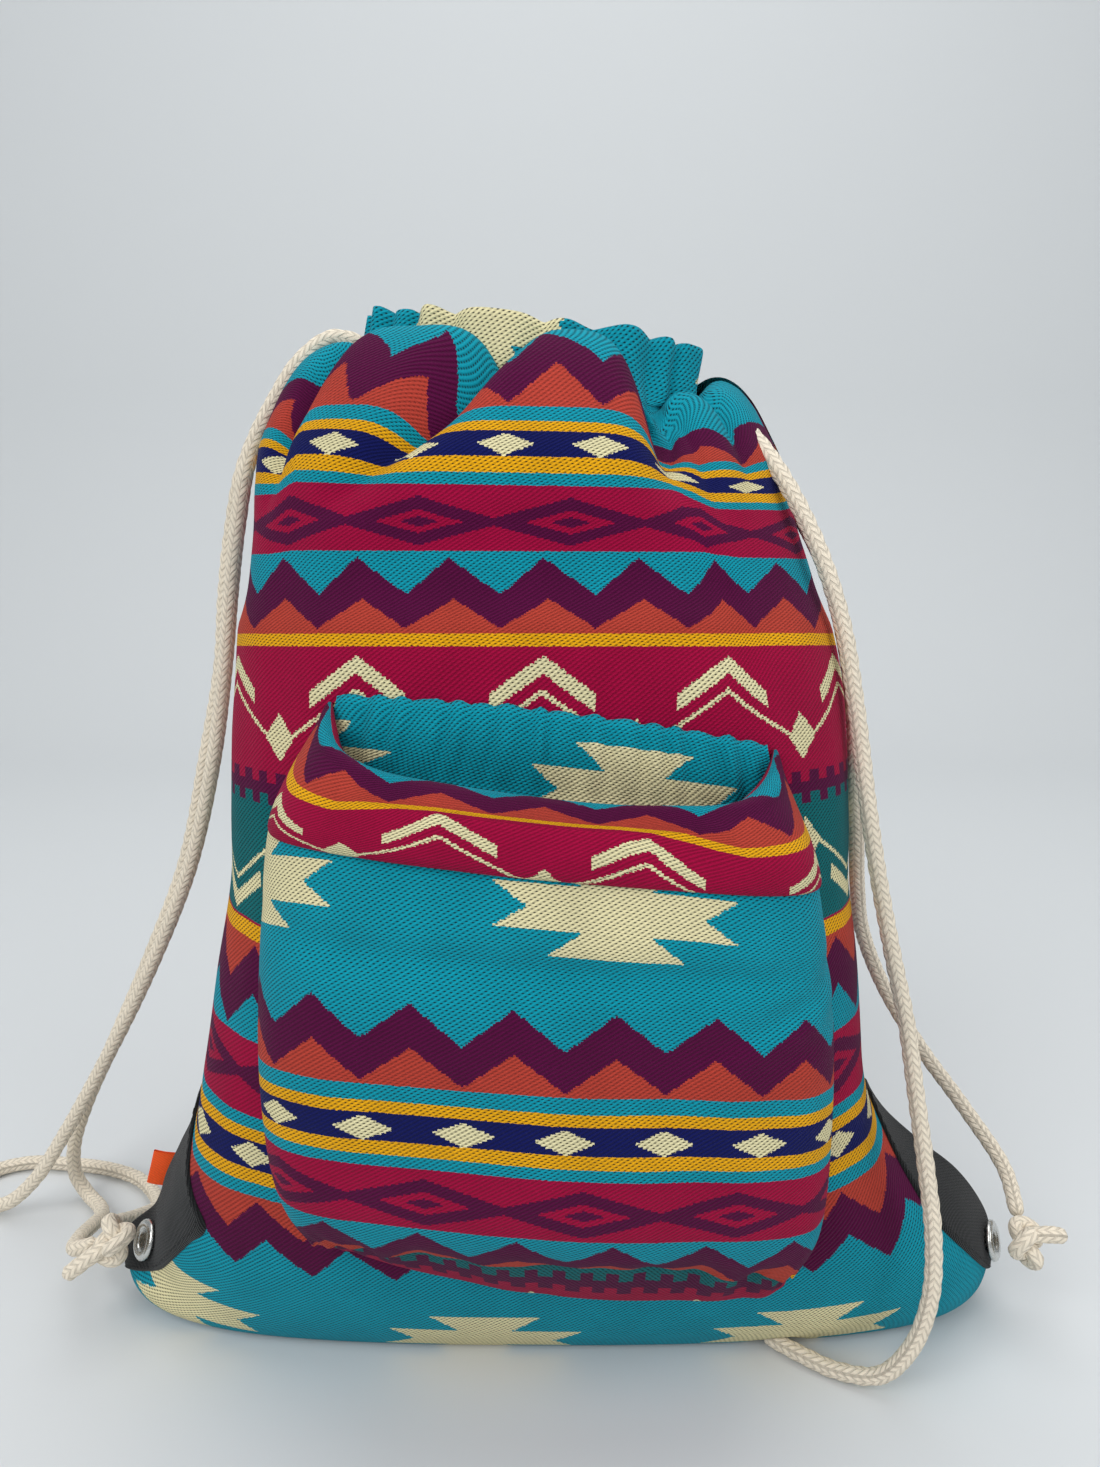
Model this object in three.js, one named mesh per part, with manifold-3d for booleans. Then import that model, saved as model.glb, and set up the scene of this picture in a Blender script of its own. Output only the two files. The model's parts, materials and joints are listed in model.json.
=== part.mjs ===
// Drawstring backpack of heavy striped cloth, stuffed full and standing on its base.
// Millimetres, +Z up, the pocket faces -Y. The origin is at the middle of the base on the floor.
import * as THREE from "three";
import { mergeVertices } from "three/addons/utils/BufferGeometryUtils.js";
import Module from "manifold-3d";

// Driving dimensions of the filled bag
const STAND_HEIGHT = 388;
const CORNER_SPAN = 358;
const WAIST_WIDTH = 232;
const MOUTH_WIDTH = 124;
const MOUTH_DEPTH = 60;
const FRONT_REACH = 68;
const BACK_REACH = 90;
const SEAM_SETBACK = 30;
const LEAN = 12;
const MOUTH_TILT = 7;

// Cloth, gathers and casing
const CLOTH = 2.4;
const SEAM_GAP = 0.4;
const LAY_GAP = 1;
const POCKET_GAP = 1.1;
const FOLD_HEIGHT = 11;
const RUFFLE_HEIGHT = 3.4;
const RUFFLES = 9;
const TUNNEL_WIDTH = 8;
const TUNNEL_LOW = 0.937;
const TUNNEL_HIGH = 0.984;
const CASING_LOW = 0.925;
const NOTCH = 0.2;

// Pocket
const POCKET_FRONT = 70;
const POCKET_CENTRE_X = 0.5;
const POCKET_HALF_WIDTH = 98;
const POCKET_RUFFLE = 2.2;
const POCKET_RUFFLES = 6;
const CUFF_SHARE = 0.15;
const CUFF_FLARE = 6;
const WALL_MARGIN = 9;

// Corner patches, eyelets and tab
const PATCH_CLOTH = 1.6;
const EYELET_RADIUS = 8;
const EYELET_BORE = 4;
const EYELET_WALL = 0.8;
const EYELET_FLANGE = 1.1;
const EYELET_ROW = 0.095;
const EYELET_ACROSS = 0.87;
const EYELET_RISE = 1.6;
const WASHER_THICKNESS = 0.8;
const TAB_LENGTH = 13;
const TAB_HEIGHT = 15;
const TAB_THICKNESS = 0.9;

// Cords
const CORD_DIAMETER = 6.5;
const KNOT_RADIUS = 10;
const CORD_SIDES = 8;

// Mesh fineness
const FRONT_COLUMNS = 36;
const BACK_COLUMNS = 26;
const POCKET_COLUMNS = 24;

const FRONT = -1;
const BACK = 1;

// Smooth value at t of a list of [t, value] stations
function along(stations, t) {
  const last = stations.length - 1;
  let i = 0;
  while (i < last - 1 && t > stations[i + 1][0]) i += 1;
  const [t0, v0] = stations[i];
  const [t1, v1] = stations[i + 1];
  const slope = (a, b) => (stations[b][1] - stations[a][1]) / (stations[b][0] - stations[a][0]);
  const m0 = slope(Math.max(i - 1, 0), i + 1);
  const m1 = slope(i, Math.min(i + 2, last));
  const span = t1 - t0;
  const f = Math.min(Math.max((t - t0) / span, 0), 1);
  const g = f * f * (3 - 2 * f);
  return v0 + (v1 - v0) * g + span * (m0 * f * (1 - f) ** 2 - m1 * f * f * (1 - f));
}

// The side seams, from the base corner (0) to the top of the mouth (1)
const FLARE = [
  [0, 0.88], [0.028, 0.97], [0.066, 1], [0.098, 0.87], [0.142, 0.72], [0.186, 0.53],
  [0.228, 0.35], [0.265, 0.24], [0.32, 0.155], [0.4, 0.09], [0.5, 0], [1, 0],
];
const TAPER = [
  [0, 0], [0.5, 0], [0.636, 0.083], [0.748, 0.24], [0.835, 0.44], [0.892, 0.6],
  [0.925, 0.86], [0.96, 0.97], [1, 1],
];
const SIDE_RISE = [
  [0, 0.008], [0.028, 0.034], [0.066, 0.075], [0.098, 0.106], [0.142, 0.147], [0.186, 0.18],
  [0.228, 0.214], [0.265, 0.25], [0.32, 0.309], [0.4, 0.396], [0.5, 0.504], [0.636, 0.652],
  [0.748, 0.773], [0.835, 0.858], [0.892, 0.898], [0.925, 0.918], [0.96, 0.952], [1, 0.988],
];
const SIDEWAYS = [
  [0, 0.3], [0.066, 0.35], [0.098, 0.7], [0.142, 0.5], [0.2, 0], [0.265, -0.4], [0.4, -0.33],
  [0.636, -0.25], [0.748, -0.6], [0.835, -1], [0.9, -1.05], [1, -0.55],
];
const SETBACK = [
  [0, 0], [0.15, 0], [0.265, 0.12], [0.4, 0.27], [0.6, 0.47], [0.8, 0.68], [0.9, 0.87], [1, 1],
];

// The middle line of the front and of the back, as shares of their reach and of the height
const FRONT_BELLY = [
  [0, 0], [0.05, 0.32], [0.08, 0.51], [0.12, 0.66], [0.2, 0.81], [0.3, 0.95], [0.4, 1],
  [0.52, 0.99], [0.64, 0.97], [0.7, 0.94], [0.767, 0.9], [0.904, 0.86], [1, 0.86],
];
const FRONT_RISE = [
  [0, -0.013], [0.05, -0.013], [0.08, 0.012], [0.12, 0.057], [0.2, 0.144], [0.3, 0.268],
  [0.4, 0.387], [0.52, 0.534], [0.64, 0.673], [0.684, 0.727], [0.767, 0.802], [0.84, 0.861],
  [0.904, 0.915], [0.925, 0.932], [1, 1],
];
const BACK_BELLY = [
  [0, 0], [0.05, 0.26], [0.1, 0.52], [0.15, 0.74], [0.2, 0.89], [0.27, 0.98], [0.36, 1],
  [0.46, 0.97], [0.56, 0.9], [0.66, 0.81], [0.76, 0.7], [0.84, 0.62], [1, 0.6],
];
const BACK_RISE = [
  [0, -0.013], [0.05, -0.013], [0.1, -0.013], [0.15, 0.004], [0.2, 0.043], [0.27, 0.13],
  [0.36, 0.253], [0.46, 0.387], [0.56, 0.515], [0.66, 0.634], [0.76, 0.763], [0.84, 0.858],
  [0.9, 0.917], [0.925, 0.938], [1, 0.995],
];
const NECK = [[0, 0], [0.7, 0], [0.8, 0.12], [0.9, 0.55], [0.95, 0.9], [1, 1]];
const BOXINESS = [[0, 0.3], [0.2, 0.28], [0.5, 0.17], [0.8, 0.1], [1, 0.08]];

// Gathers: the valleys between the big folds across each panel, and how high up each wave shows
const FRONT_VALLEYS = [-1, -0.7, -0.42, -0.03, 0.37, 0.56, 0.8, 1];
const BACK_VALLEYS = [-1, -0.6, -0.25, 0.1, 0.5, 1];
const FOLD_FADE = [[0, 0], [0.62, 0], [0.72, 0.25], [0.8, 0.7], [0.87, 1], [0.925, 0.5], [1, 0.3]];
const RUFFLE_FADE = [[0, 0], [0.8, 0], [0.88, 0.35], [0.925, 1], [0.96, 1], [1, 0.8]];
const FULL_FOLD = 0.35;

function seamPoint(hand, t) {
  const half = WAIST_WIDTH / 2 + (CORNER_SPAN - WAIST_WIDTH) / 2 * along(FLARE, t)
    + (MOUTH_WIDTH - WAIST_WIDTH) / 2 * along(TAPER, t);
  const x = hand * half + LEAN * along(SIDEWAYS, t);
  const z = STAND_HEIGHT * along(SIDE_RISE, t) - hand * MOUTH_TILT * along(NECK, t);
  return new THREE.Vector3(x, SEAM_SETBACK * along(SETBACK, t), z);
}

function middlePoint(face, t) {
  const reach = face === FRONT ? FRONT_REACH : BACK_REACH;
  const belly = along(face === FRONT ? FRONT_BELLY : BACK_BELLY, t);
  const neck = along(NECK, t);
  const out = reach * belly * (1 - neck) + MOUTH_DEPTH / 2 * neck;
  const rise = along(face === FRONT ? FRONT_RISE : BACK_RISE, t);
  const left = seamPoint(-1, t);
  const right = seamPoint(1, t);
  return new THREE.Vector3((left.x + right.x) / 2, left.y + face * out, STAND_HEIGHT * rise);
}

// Unit vector that points out of the cloth at a path point, across the given level direction
function outwardOf(path, t, level) {
  const step = 0.004;
  const low = path(Math.max(t - step, 0));
  const high = path(Math.min(t + step, 1));
  const travel = high.sub(low);
  const flat = travel.dot(level);
  return level.clone().multiplyScalar(travel.z).add(new THREE.Vector3(0, 0, -flat)).normalize();
}

function insetSeam(hand, t, depth) {
  const out = outwardOf((u) => seamPoint(hand, u), t, new THREE.Vector3(hand, 0, 0));
  return seamPoint(hand, t).addScaledVector(out, -depth);
}

function insetMiddle(face, t, depth) {
  const out = outwardOf((u) => middlePoint(face, u), t, new THREE.Vector3(0, face, 0));
  return middlePoint(face, t).addScaledVector(out, -depth);
}

function bigFold(face, s) {
  const valleys = face === FRONT ? FRONT_VALLEYS : BACK_VALLEYS;
  let i = 0;
  while (i < valleys.length - 2 && s > valleys[i + 1]) i += 1;
  const width = valleys[i + 1] - valleys[i];
  const f = Math.min(Math.max((s - valleys[i]) / width, 0), 1);
  return Math.min(1, width / FULL_FOLD) * Math.sin(Math.PI * f) ** 0.85;
}

function smallRuffle(s) {
  return Math.sin(Math.PI / 2 * (s + 1) * RUFFLES) ** 2;
}

// A point of the bag wall: face, share across (-1 to 1), share up, depth inwards from the outside
function bagPoint(face, s, t, depth, waves = 1) {
  const left = insetSeam(-1, t, depth);
  const right = insetSeam(1, t, depth);
  const middle = insetMiddle(face, t, depth);
  const angle = s * Math.PI / 2;
  const boxy = along(BOXINESS, t);
  const across = Math.sin(angle) * (1 + boxy * Math.cos(angle) ** 2);
  const outward = Math.cos(angle) * (1 + boxy * Math.sin(angle) ** 2);
  const point = left.clone().lerp(right, (across + 1) / 2);
  const seamMiddle = left.clone().lerp(right, 0.5);
  const bulge = middle.clone().sub(seamMiddle);
  point.addScaledVector(bulge, outward);
  const half = (right.x - left.x) / 2;
  const reach = bulge.length() + 1e-6;
  const normal = new THREE.Vector3(reach * Math.sin(angle), 0, 0)
    .addScaledVector(bulge, half * Math.cos(angle) / reach).normalize();
  const small = RUFFLE_HEIGHT * smallRuffle(s) * along(RUFFLE_FADE, t);
  const lift = FOLD_HEIGHT * bigFold(face, s) * along(FOLD_FADE, t) + small;
  point.addScaledVector(normal, waves * lift);
  if (t > TUNNEL_HIGH) point.z += waves * small / 2;
  point.z = Math.max(point.z, depth, 0);
  point.y += face * SEAM_GAP / 2;
  return point;
}

// Sweeps a section over a run of columns into one closed solid. The section is a band between an
// outer and an inner line of points [share up, depth]; a hole in it lies between two of its rows.
// place(share up, depth, column) gives the point of a section point at that column.
function sweep(outer, inner, columns, place, hole) {
  const positions = [];
  const faces = [];
  const quad = (a, b, c, d) => faces.push(a, b, c, a, c, d);
  const strip = (line) => {
    const start = positions.length / 3;
    for (const column of columns) {
      for (const [share, depth] of line) positions.push(...place(share, depth, column).toArray());
    }
    const n = line.length;
    for (let c = 0; c < columns.length - 1; c += 1) {
      for (let i = 0; i < n; i += 1) {
        const p = start + c * n + i;
        const q = start + c * n + (i + 1) % n;
        quad(p, q, q + n, p + n);
      }
    }
    return (i, end) => start + (end ? (columns.length - 1) * n : 0) + i;
  };
  const n = outer.length;
  const rim = strip([...outer, ...[...inner].reverse()]);
  const out = (i, end) => rim(i, end);
  const within = (i, end) => rim(2 * n - 1 - i, end);
  const m = hole ? hole.outer.length : 0;
  const bore = hole ? strip([...[...hole.outer].reverse(), ...hole.inner]) : null;
  const boreOut = (j, end) => bore(m - 1 - j, end);
  const boreIn = (j, end) => bore(m + j, end);
  for (const end of [false, true]) {
    const cap = (a, b, c, d) => (end ? quad(a, b, c, d) : quad(d, c, b, a));
    for (let i = 0; i < n - 1; i += 1) {
      const j = hole ? i - hole.row : -1;
      if (j >= 0 && j < m - 1) {
        cap(out(i, end), out(i + 1, end), boreOut(j + 1, end), boreOut(j, end));
        cap(boreIn(j, end), boreIn(j + 1, end), within(i + 1, end), within(i, end));
      } else {
        cap(out(i, end), out(i + 1, end), within(i + 1, end), within(i, end));
      }
    }
    if (hole) {
      const [low, high] = [hole.row, hole.row + m - 1];
      cap(boreOut(0, end), boreIn(0, end), within(low, end), out(low, end));
      cap(boreIn(m - 1, end), boreOut(m - 1, end), out(high, end), within(high, end));
    }
  }
  const geometry = new THREE.BufferGeometry();
  geometry.setAttribute("position", new THREE.Float32BufferAttribute(positions, 3));
  geometry.setIndex(faces);
  return facingOut(geometry);
}

// Turns every triangle round if the solid's volume comes out negative
function facingOut(geometry) {
  const p = geometry.getAttribute("position");
  const index = geometry.getIndex().array;
  const [a, b, c] = [new THREE.Vector3(), new THREE.Vector3(), new THREE.Vector3()];
  let volume = 0;
  for (let i = 0; i < index.length; i += 3) {
    a.fromBufferAttribute(p, index[i]);
    b.fromBufferAttribute(p, index[i + 1]);
    c.fromBufferAttribute(p, index[i + 2]);
    volume += a.dot(b.cross(c));
  }
  if (volume < 0) {
    for (let i = 0; i < index.length; i += 3) {
      const swap = index[i + 1];
      index[i + 1] = index[i + 2];
      index[i + 2] = swap;
    }
  }
  return geometry;
}

function evenly(count, low = -1, high = 1) {
  return Array.from({ length: count + 1 }, (_, i) => low + (high - low) * i / count);
}

// A sheet of even thickness that runs through the given rows
function sheet(rows, outer, inner, columns, place) {
  return sweep(rows.map((row) => [row, outer]), rows.map((row) => [row, inner]), columns, place);
}

// Rows that the panels share with the corner patches, so that the two lie parallel
const CORNER_ROWS = [0.045, 0.075, 0.105, 0.135, 0.165, 0.2, 0.235, 0.262];

// One wall of the bag with the hem turned over inside it as a tunnel for the cords
function panelGeometry(face, columnCount) {
  const upper = [0.31, 0.38, 0.46, 0.55, 0.64, 0.72, 0.78, 0.83, 0.875, 0.908];
  const lower = [0, ...CORNER_ROWS, ...upper];
  const hemDepth = 2 * CLOTH + TUNNEL_WIDTH;
  const rounding = 2.4;
  const turn = 0.006;
  const middle = (TUNNEL_LOW + TUNNEL_HIGH) / 2;
  const tunnel = [TUNNEL_LOW, middle, TUNNEL_HIGH];
  const outer = [
    ...lower.map((row) => [row, 0]), [CASING_LOW - turn, 0], [CASING_LOW, 0],
    ...tunnel.map((row) => [row, 0]), [0.993, rounding / 3], [1, rounding],
  ];
  const inner = [
    ...lower.map((row) => [row, CLOTH]), [CASING_LOW - turn, CLOTH], [CASING_LOW, hemDepth],
    ...tunnel.map((row) => [row, hemDepth]), [0.993, hemDepth], [1, hemDepth - rounding],
  ];
  const hole = {
    row: lower.length + 2,
    outer: tunnel.map((row) => [row, CLOTH]),
    inner: tunnel.map((row) => [row, CLOTH + TUNNEL_WIDTH]),
  };
  const place = (t, depth, s) => {
    const opened = THREE.MathUtils.smoothstep(t, 0.9, CASING_LOW);
    const waves = depth === 0 || t < CASING_LOW || (t > TUNNEL_HIGH && depth < CLOTH + 1) ? 1 : 0;
    return bagPoint(face, s * (1 - NOTCH * opened), t, depth, waves);
  };
  return sweep(outer, inner, evenly(columnCount), place, hole);
}

// Finds how far forward the front wall stands at a place seen from the front
function frontWallY(x, z) {
  let s = 0;
  let t = z / STAND_HEIGHT;
  const step = 1e-4;
  for (let round = 0; round < 12; round += 1) {
    const here = bagPoint(FRONT, s, t, 0);
    const alongS = bagPoint(FRONT, s + step, t, 0).sub(here).divideScalar(step);
    const alongT = bagPoint(FRONT, s, t + step, 0).sub(here).divideScalar(step);
    const dx = x - here.x;
    const dz = z - here.z;
    const det = alongS.x * alongT.z - alongT.x * alongS.z;
    s = THREE.MathUtils.clamp(s + (dx * alongT.z - dz * alongT.x) / det, -0.98, 0.98);
    t = THREE.MathUtils.clamp(t + (dz * alongS.x - dx * alongS.z) / det, 0.05, 0.9);
  }
  return bagPoint(FRONT, s, t, 0).y;
}

// Pocket: side edges [row, share of the half width, share of the height] and the middle line
const POCKET_LEFT = [
  [0, 0.86, 0.17], [0.15, 0.95, 0.227], [0.35, 0.99, 0.309], [0.6, 1, 0.425], [0.8, 0.98, 0.528],
  [0.9, 0.93, 0.59], [1, 0.82, 0.655],
];
const POCKET_RIGHT = [
  [0, 0.91, 0.129], [0.15, 0.985, 0.186], [0.35, 1, 0.27], [0.6, 0.985, 0.387], [0.8, 0.93, 0.477],
  [0.9, 0.865, 0.55], [1, 0.77, 0.613],
];
const POCKET_OUT = [
  [0, 0.72, 0.204], [0.12, 0.89, 0.237], [0.25, 0.98, 0.291], [0.45, 1, 0.387], [0.65, 0.94, 0.482],
  [0.82, 0.85, 0.562], [1, 0.79, 0.612],
];
const POCKET_BOXINESS = 0.3;
const POCKET_SEAM_Y = -31;

const column = (list, k) => list.map((row) => [row[0], row[k]]);

function pocketSide(hand, b, depth) {
  const list = hand < 0 ? POCKET_LEFT : POCKET_RIGHT;
  const x = POCKET_CENTRE_X + hand * (POCKET_HALF_WIDTH * along(column(list, 1), b) - depth);
  const z = STAND_HEIGHT * along(column(list, 2), b);
  return new THREE.Vector3(x, frontWallY(x, z) - POCKET_GAP, z);
}

function pocketMiddle(b) {
  const y = POCKET_SEAM_Y - POCKET_FRONT * along(column(POCKET_OUT, 1), b);
  return new THREE.Vector3(POCKET_CENTRE_X, y, STAND_HEIGHT * along(column(POCKET_OUT, 2), b));
}

// A point of the pocket: share up, depth inwards, share across
function pocketPoint(b, depth, a) {
  const row = THREE.MathUtils.clamp(b, 0, 1);
  const over = (b - row) * STAND_HEIGHT / 2;
  const left = pocketSide(-1, row, depth);
  const right = pocketSide(1, row, depth);
  const out = outwardOf(pocketMiddle, row, new THREE.Vector3(0, -1, 0));
  const middle = pocketMiddle(row).addScaledVector(out, -depth);
  const angle = a * Math.PI / 2;
  const across = Math.sin(angle) * (1 + POCKET_BOXINESS * Math.cos(angle) ** 2);
  const outward = Math.cos(angle) * (1 + POCKET_BOXINESS * Math.sin(angle) ** 2);
  const point = left.clone().lerp(right, (across + 1) / 2);
  point.addScaledVector(middle.sub(left.clone().lerp(right, 0.5)), outward);
  const seam = Math.max(0, 1 - row / 0.1);
  point.y -= POCKET_RUFFLE * seam * Math.sin(Math.PI / 2 * (a + 1) * POCKET_RUFFLES) ** 2;
  point.z += over;
  return point;
}

function pocketFrontGeometry() {
  const rows = [0, 0.05, 0.12, 0.22, 0.34, 0.48, 0.62, 0.75, 1 - CUFF_SHARE, 1 - CUFF_SHARE / 2, 1];
  return sheet(rows, 0, CLOTH, evenly(POCKET_COLUMNS), pocketPoint);
}

// The rolled rim: a loose outer leg, a rounded top and a short leg inside the mouth
function pocketCuffGeometry() {
  const low = 1 - CUFF_SHARE;
  const middle = 1 - CUFF_SHARE / 2;
  const top = 1 + 2 * LAY_GAP / STAND_HEIGHT;
  const crown = top + 2 * CLOTH / STAND_HEIGHT;
  const outer = [
    [low, -CUFF_FLARE], [middle, -LAY_GAP - CLOTH - 2], [1, -LAY_GAP - CLOTH], [crown, -CLOTH / 2],
    [crown, CLOTH * 1.5], [1, 2 * CLOTH + LAY_GAP], [middle, 2 * CLOTH + LAY_GAP],
  ];
  const inner = [
    [low, -CUFF_FLARE + CLOTH], [middle, -LAY_GAP - 1.2], [1, -LAY_GAP], [top, -LAY_GAP],
    [top, CLOTH + LAY_GAP], [1, CLOTH + LAY_GAP], [middle, CLOTH + LAY_GAP],
  ];
  return sweep(outer, inner, evenly(POCKET_COLUMNS), pocketPoint);
}

// The inner wall of the pocket lies flat on the bag, with a puckered top seam
const WALL_LEFT = [[0, 0.8, 0.215], [0.3, 0.88, 0.32], [0.7, 0.88, 0.53], [1, 0.68, 0.683]];
const WALL_RIGHT = [[0, 0.84, 0.185], [0.3, 0.88, 0.3], [0.7, 0.8, 0.5], [1, 0.69, 0.645]];
const WALL_SAG = [[0, -0.05], [0.3, -0.03], [0.7, 0.0], [1, 0.012]];

function wallPoint(b, depth, a) {
  const edge = (hand, list) => POCKET_CENTRE_X
    + hand * (POCKET_HALF_WIDTH * along(column(list, 1), b) - WALL_MARGIN / 3);
  const f = (a + 1) / 2;
  const x = THREE.MathUtils.lerp(edge(-1, WALL_LEFT), edge(1, WALL_RIGHT), f);
  const share = THREE.MathUtils.lerp(along(column(WALL_LEFT, 2), b), along(column(WALL_RIGHT, 2), b), f);
  const z = STAND_HEIGHT * (share + along(WALL_SAG, b) * (1 - a * a));
  const pucker = Math.max(0, b - 0.9) * 12 * Math.sin(Math.PI / 2 * (a + 1) * 8) ** 2;
  const lift = depth > 0 ? depth + pucker : 0;
  return new THREE.Vector3(x, frontWallY(x, z) - LAY_GAP - lift, z);
}

function pocketWallGeometry() {
  const rows = [0, 0.15, 0.35, 0.55, 0.75, 0.9, 1];
  return sheet(rows, CLOTH, 0, evenly(16), wallPoint);
}

// The strip that closes the pocket underneath, from the puckered seam back to the bag
const BASE_DROP = [[-1, 0.012], [-0.6, 0.05], [0, 0.1], [0.6, 0.075], [1, 0.014]];

function pocketBasePoint(c, depth, a) {
  const front = pocketPoint(0, -0.5, a * 0.97);
  const x = front.x * 0.97;
  const drop = STAND_HEIGHT * along(BASE_DROP, a);
  const rearZ = front.z - SEAM_GAP - drop;
  const rear = new THREE.Vector3(x, frontWallY(x, rearZ) - LAY_GAP, rearZ);
  const point = front.clone().setZ(front.z - SEAM_GAP).lerp(rear, c);
  const slope = new THREE.Vector3(0, front.z - rearZ, -(rear.y - front.y)).normalize();
  point.addScaledVector(slope, -depth);
  point.z -= depth > 0 ? 0.6 * Math.sin(Math.PI * c) * depth : 0;
  return point;
}

function pocketBaseGeometry() {
  const rows = [0, 0.35, 0.7, 0.94];
  return sheet(rows, CLOTH, 0, evenly(POCKET_COLUMNS), pocketBasePoint);
}

// Corner patches: how far each wraps onto the front and the back, row by row
const PATCH_FRONT = [[0.04, 0.1], [0.08, 0.28], [0.13, 0.44], [0.17, 0.42], [0.22, 0.25], [0.265, 0.06]];
const PATCH_BACK = [[0.04, 0.1], [0.09, 0.22], [0.15, 0.3], [0.21, 0.25], [0.265, 0.06]];

function patchGeometry(hand) {
  const outer = -LAY_GAP - PATCH_CLOTH;
  const place = (t, depth, c) => {
    const face = c < 0 ? FRONT : BACK;
    const reach = along(c < 0 ? PATCH_FRONT : PATCH_BACK, t);
    const point = bagPoint(face, hand * (1 - Math.abs(c) * reach), t, depth);
    if (c === 0) point.y -= SEAM_GAP / 2;
    return point;
  };
  return sheet(CORNER_ROWS, outer, -LAY_GAP, evenly(12), place);
}

// Booleans
const wasm = await Module();
wasm.setup();

function toManifold(geometry) {
  const bare = geometry.clone();
  bare.deleteAttribute("normal");
  bare.deleteAttribute("uv");
  const merged = mergeVertices(bare, 1e-4);
  return new wasm.Manifold(new wasm.Mesh({
    numProp: 3,
    vertProperties: new Float32Array(merged.getAttribute("position").array),
    triVerts: new Uint32Array(merged.getIndex().array),
  }));
}

function cutAway(geometry, cutters) {
  let solid = toManifold(geometry);
  for (const cutter of cutters) solid = solid.subtract(toManifold(cutter));
  const mesh = solid.getMesh();
  const result = new THREE.BufferGeometry();
  result.setAttribute("position", new THREE.Float32BufferAttribute(mesh.vertProperties, 3));
  result.setIndex(new THREE.Uint32BufferAttribute(mesh.triVerts, 1));
  return result;
}

// Where an eyelet sits: its centre on the patch and the way it faces
function eyeletSeat(hand) {
  const s = hand * EYELET_ACROSS;
  const at = (ds, dt, depth) => bagPoint(FRONT, s + ds, EYELET_ROW + dt, depth);
  const step = 0.03;
  const alongS = at(step, 0, 0).sub(at(-step, 0, 0));
  const alongT = at(0, step, 0).sub(at(0, -step, 0));
  const facing = alongS.cross(alongT).normalize();
  if (facing.x * hand < 0) facing.negate();
  const centre = at(0, 0, 0).addScaledVector(facing, LAY_GAP + PATCH_CLOTH + EYELET_RISE);
  return { centre, facing };
}

function aimed(geometry, centre, facing) {
  const turn = new THREE.Quaternion().setFromUnitVectors(new THREE.Vector3(0, 1, 0), facing);
  geometry.applyQuaternion(turn);
  geometry.translate(centre.x, centre.y, centre.z);
  return geometry;
}

const EYELET_SIDES = 12;
const WASHER_DEPTH = LAY_GAP + PATCH_CLOTH + CLOTH + 2 * EYELET_RISE;

function lathe(profile) {
  const points = [...profile, profile[0]].map(([r, h]) => new THREE.Vector2(r, h));
  const geometry = new THREE.LatheGeometry(points, EYELET_SIDES);
  geometry.deleteAttribute("normal");
  geometry.deleteAttribute("uv");
  return facingOut(mergeVertices(geometry, 1e-4));
}

function eyeletGeometry(seat) {
  const foot = -(WASHER_DEPTH + WASHER_THICKNESS + 0.8);
  const barrel = EYELET_BORE + EYELET_WALL;
  const profile = [
    [EYELET_BORE, foot], [barrel, foot], [barrel, 0], [EYELET_RADIUS, 0],
    [EYELET_RADIUS, EYELET_FLANGE / 2], [EYELET_RADIUS - 1, EYELET_FLANGE],
    [EYELET_BORE + 1, EYELET_FLANGE], [EYELET_BORE, EYELET_FLANGE / 2],
  ];
  return aimed(lathe(profile), seat.centre, seat.facing);
}

function washerGeometry(seat) {
  const bore = EYELET_BORE + EYELET_WALL + SEAM_GAP;
  const top = -WASHER_DEPTH;
  const profile = [
    [bore, top - WASHER_THICKNESS], [EYELET_RADIUS, top - WASHER_THICKNESS],
    [EYELET_RADIUS, top], [bore, top],
  ];
  return aimed(lathe(profile), seat.centre, seat.facing);
}

function eyeletHole(seat) {
  const radius = EYELET_BORE + EYELET_WALL + SEAM_GAP;
  const length = 2 * WASHER_DEPTH;
  return aimed(new THREE.CylinderGeometry(radius, radius, length, EYELET_SIDES), seat.centre, seat.facing);
}

// Cords: a round section drawn along a hand-chosen route
function cordGeometry(points, steps) {
  const path = new THREE.CatmullRomCurve3(points.map((p) => new THREE.Vector3(...p)), false, "centripetal");
  const section = new THREE.Shape();
  const radius = CORD_DIAMETER / 2;
  for (let i = 0; i < CORD_SIDES; i += 1) {
    const angle = 2 * Math.PI * i / CORD_SIDES;
    const [x, y] = [radius * Math.cos(angle), radius * Math.sin(angle)];
    if (i === 0) section.moveTo(x, y);
    else section.lineTo(x, y);
  }
  section.closePath();
  return new THREE.ExtrudeGeometry(section, { steps, extrudePath: path, bevelEnabled: false });
}

// The part of each cord inside the hem: across the front tunnel, round the far side, and back
const TUNNEL_MIDDLE = CLOTH + TUNNEL_WIDTH / 2;
const HIGH_LANE = TUNNEL_LOW + (TUNNEL_HIGH - TUNNEL_LOW) * 0.75;
const LOW_LANE = TUNNEL_LOW + (TUNNEL_HIGH - TUNNEL_LOW) * 0.25;
const TUNNEL_END = 1 - NOTCH;

function casingRoute(hand, lane) {
  const points = [];
  for (const s of evenly(18, -TUNNEL_END, 1)) {
    points.push(bagPoint(FRONT, -hand * s, lane, TUNNEL_MIDDLE, 0));
  }
  for (const s of evenly(18, 1, -TUNNEL_END).slice(1)) {
    points.push(bagPoint(BACK, -hand * s, lane, TUNNEL_MIDDLE, 0));
  }
  return points.map((p) => p.toArray());
}

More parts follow.
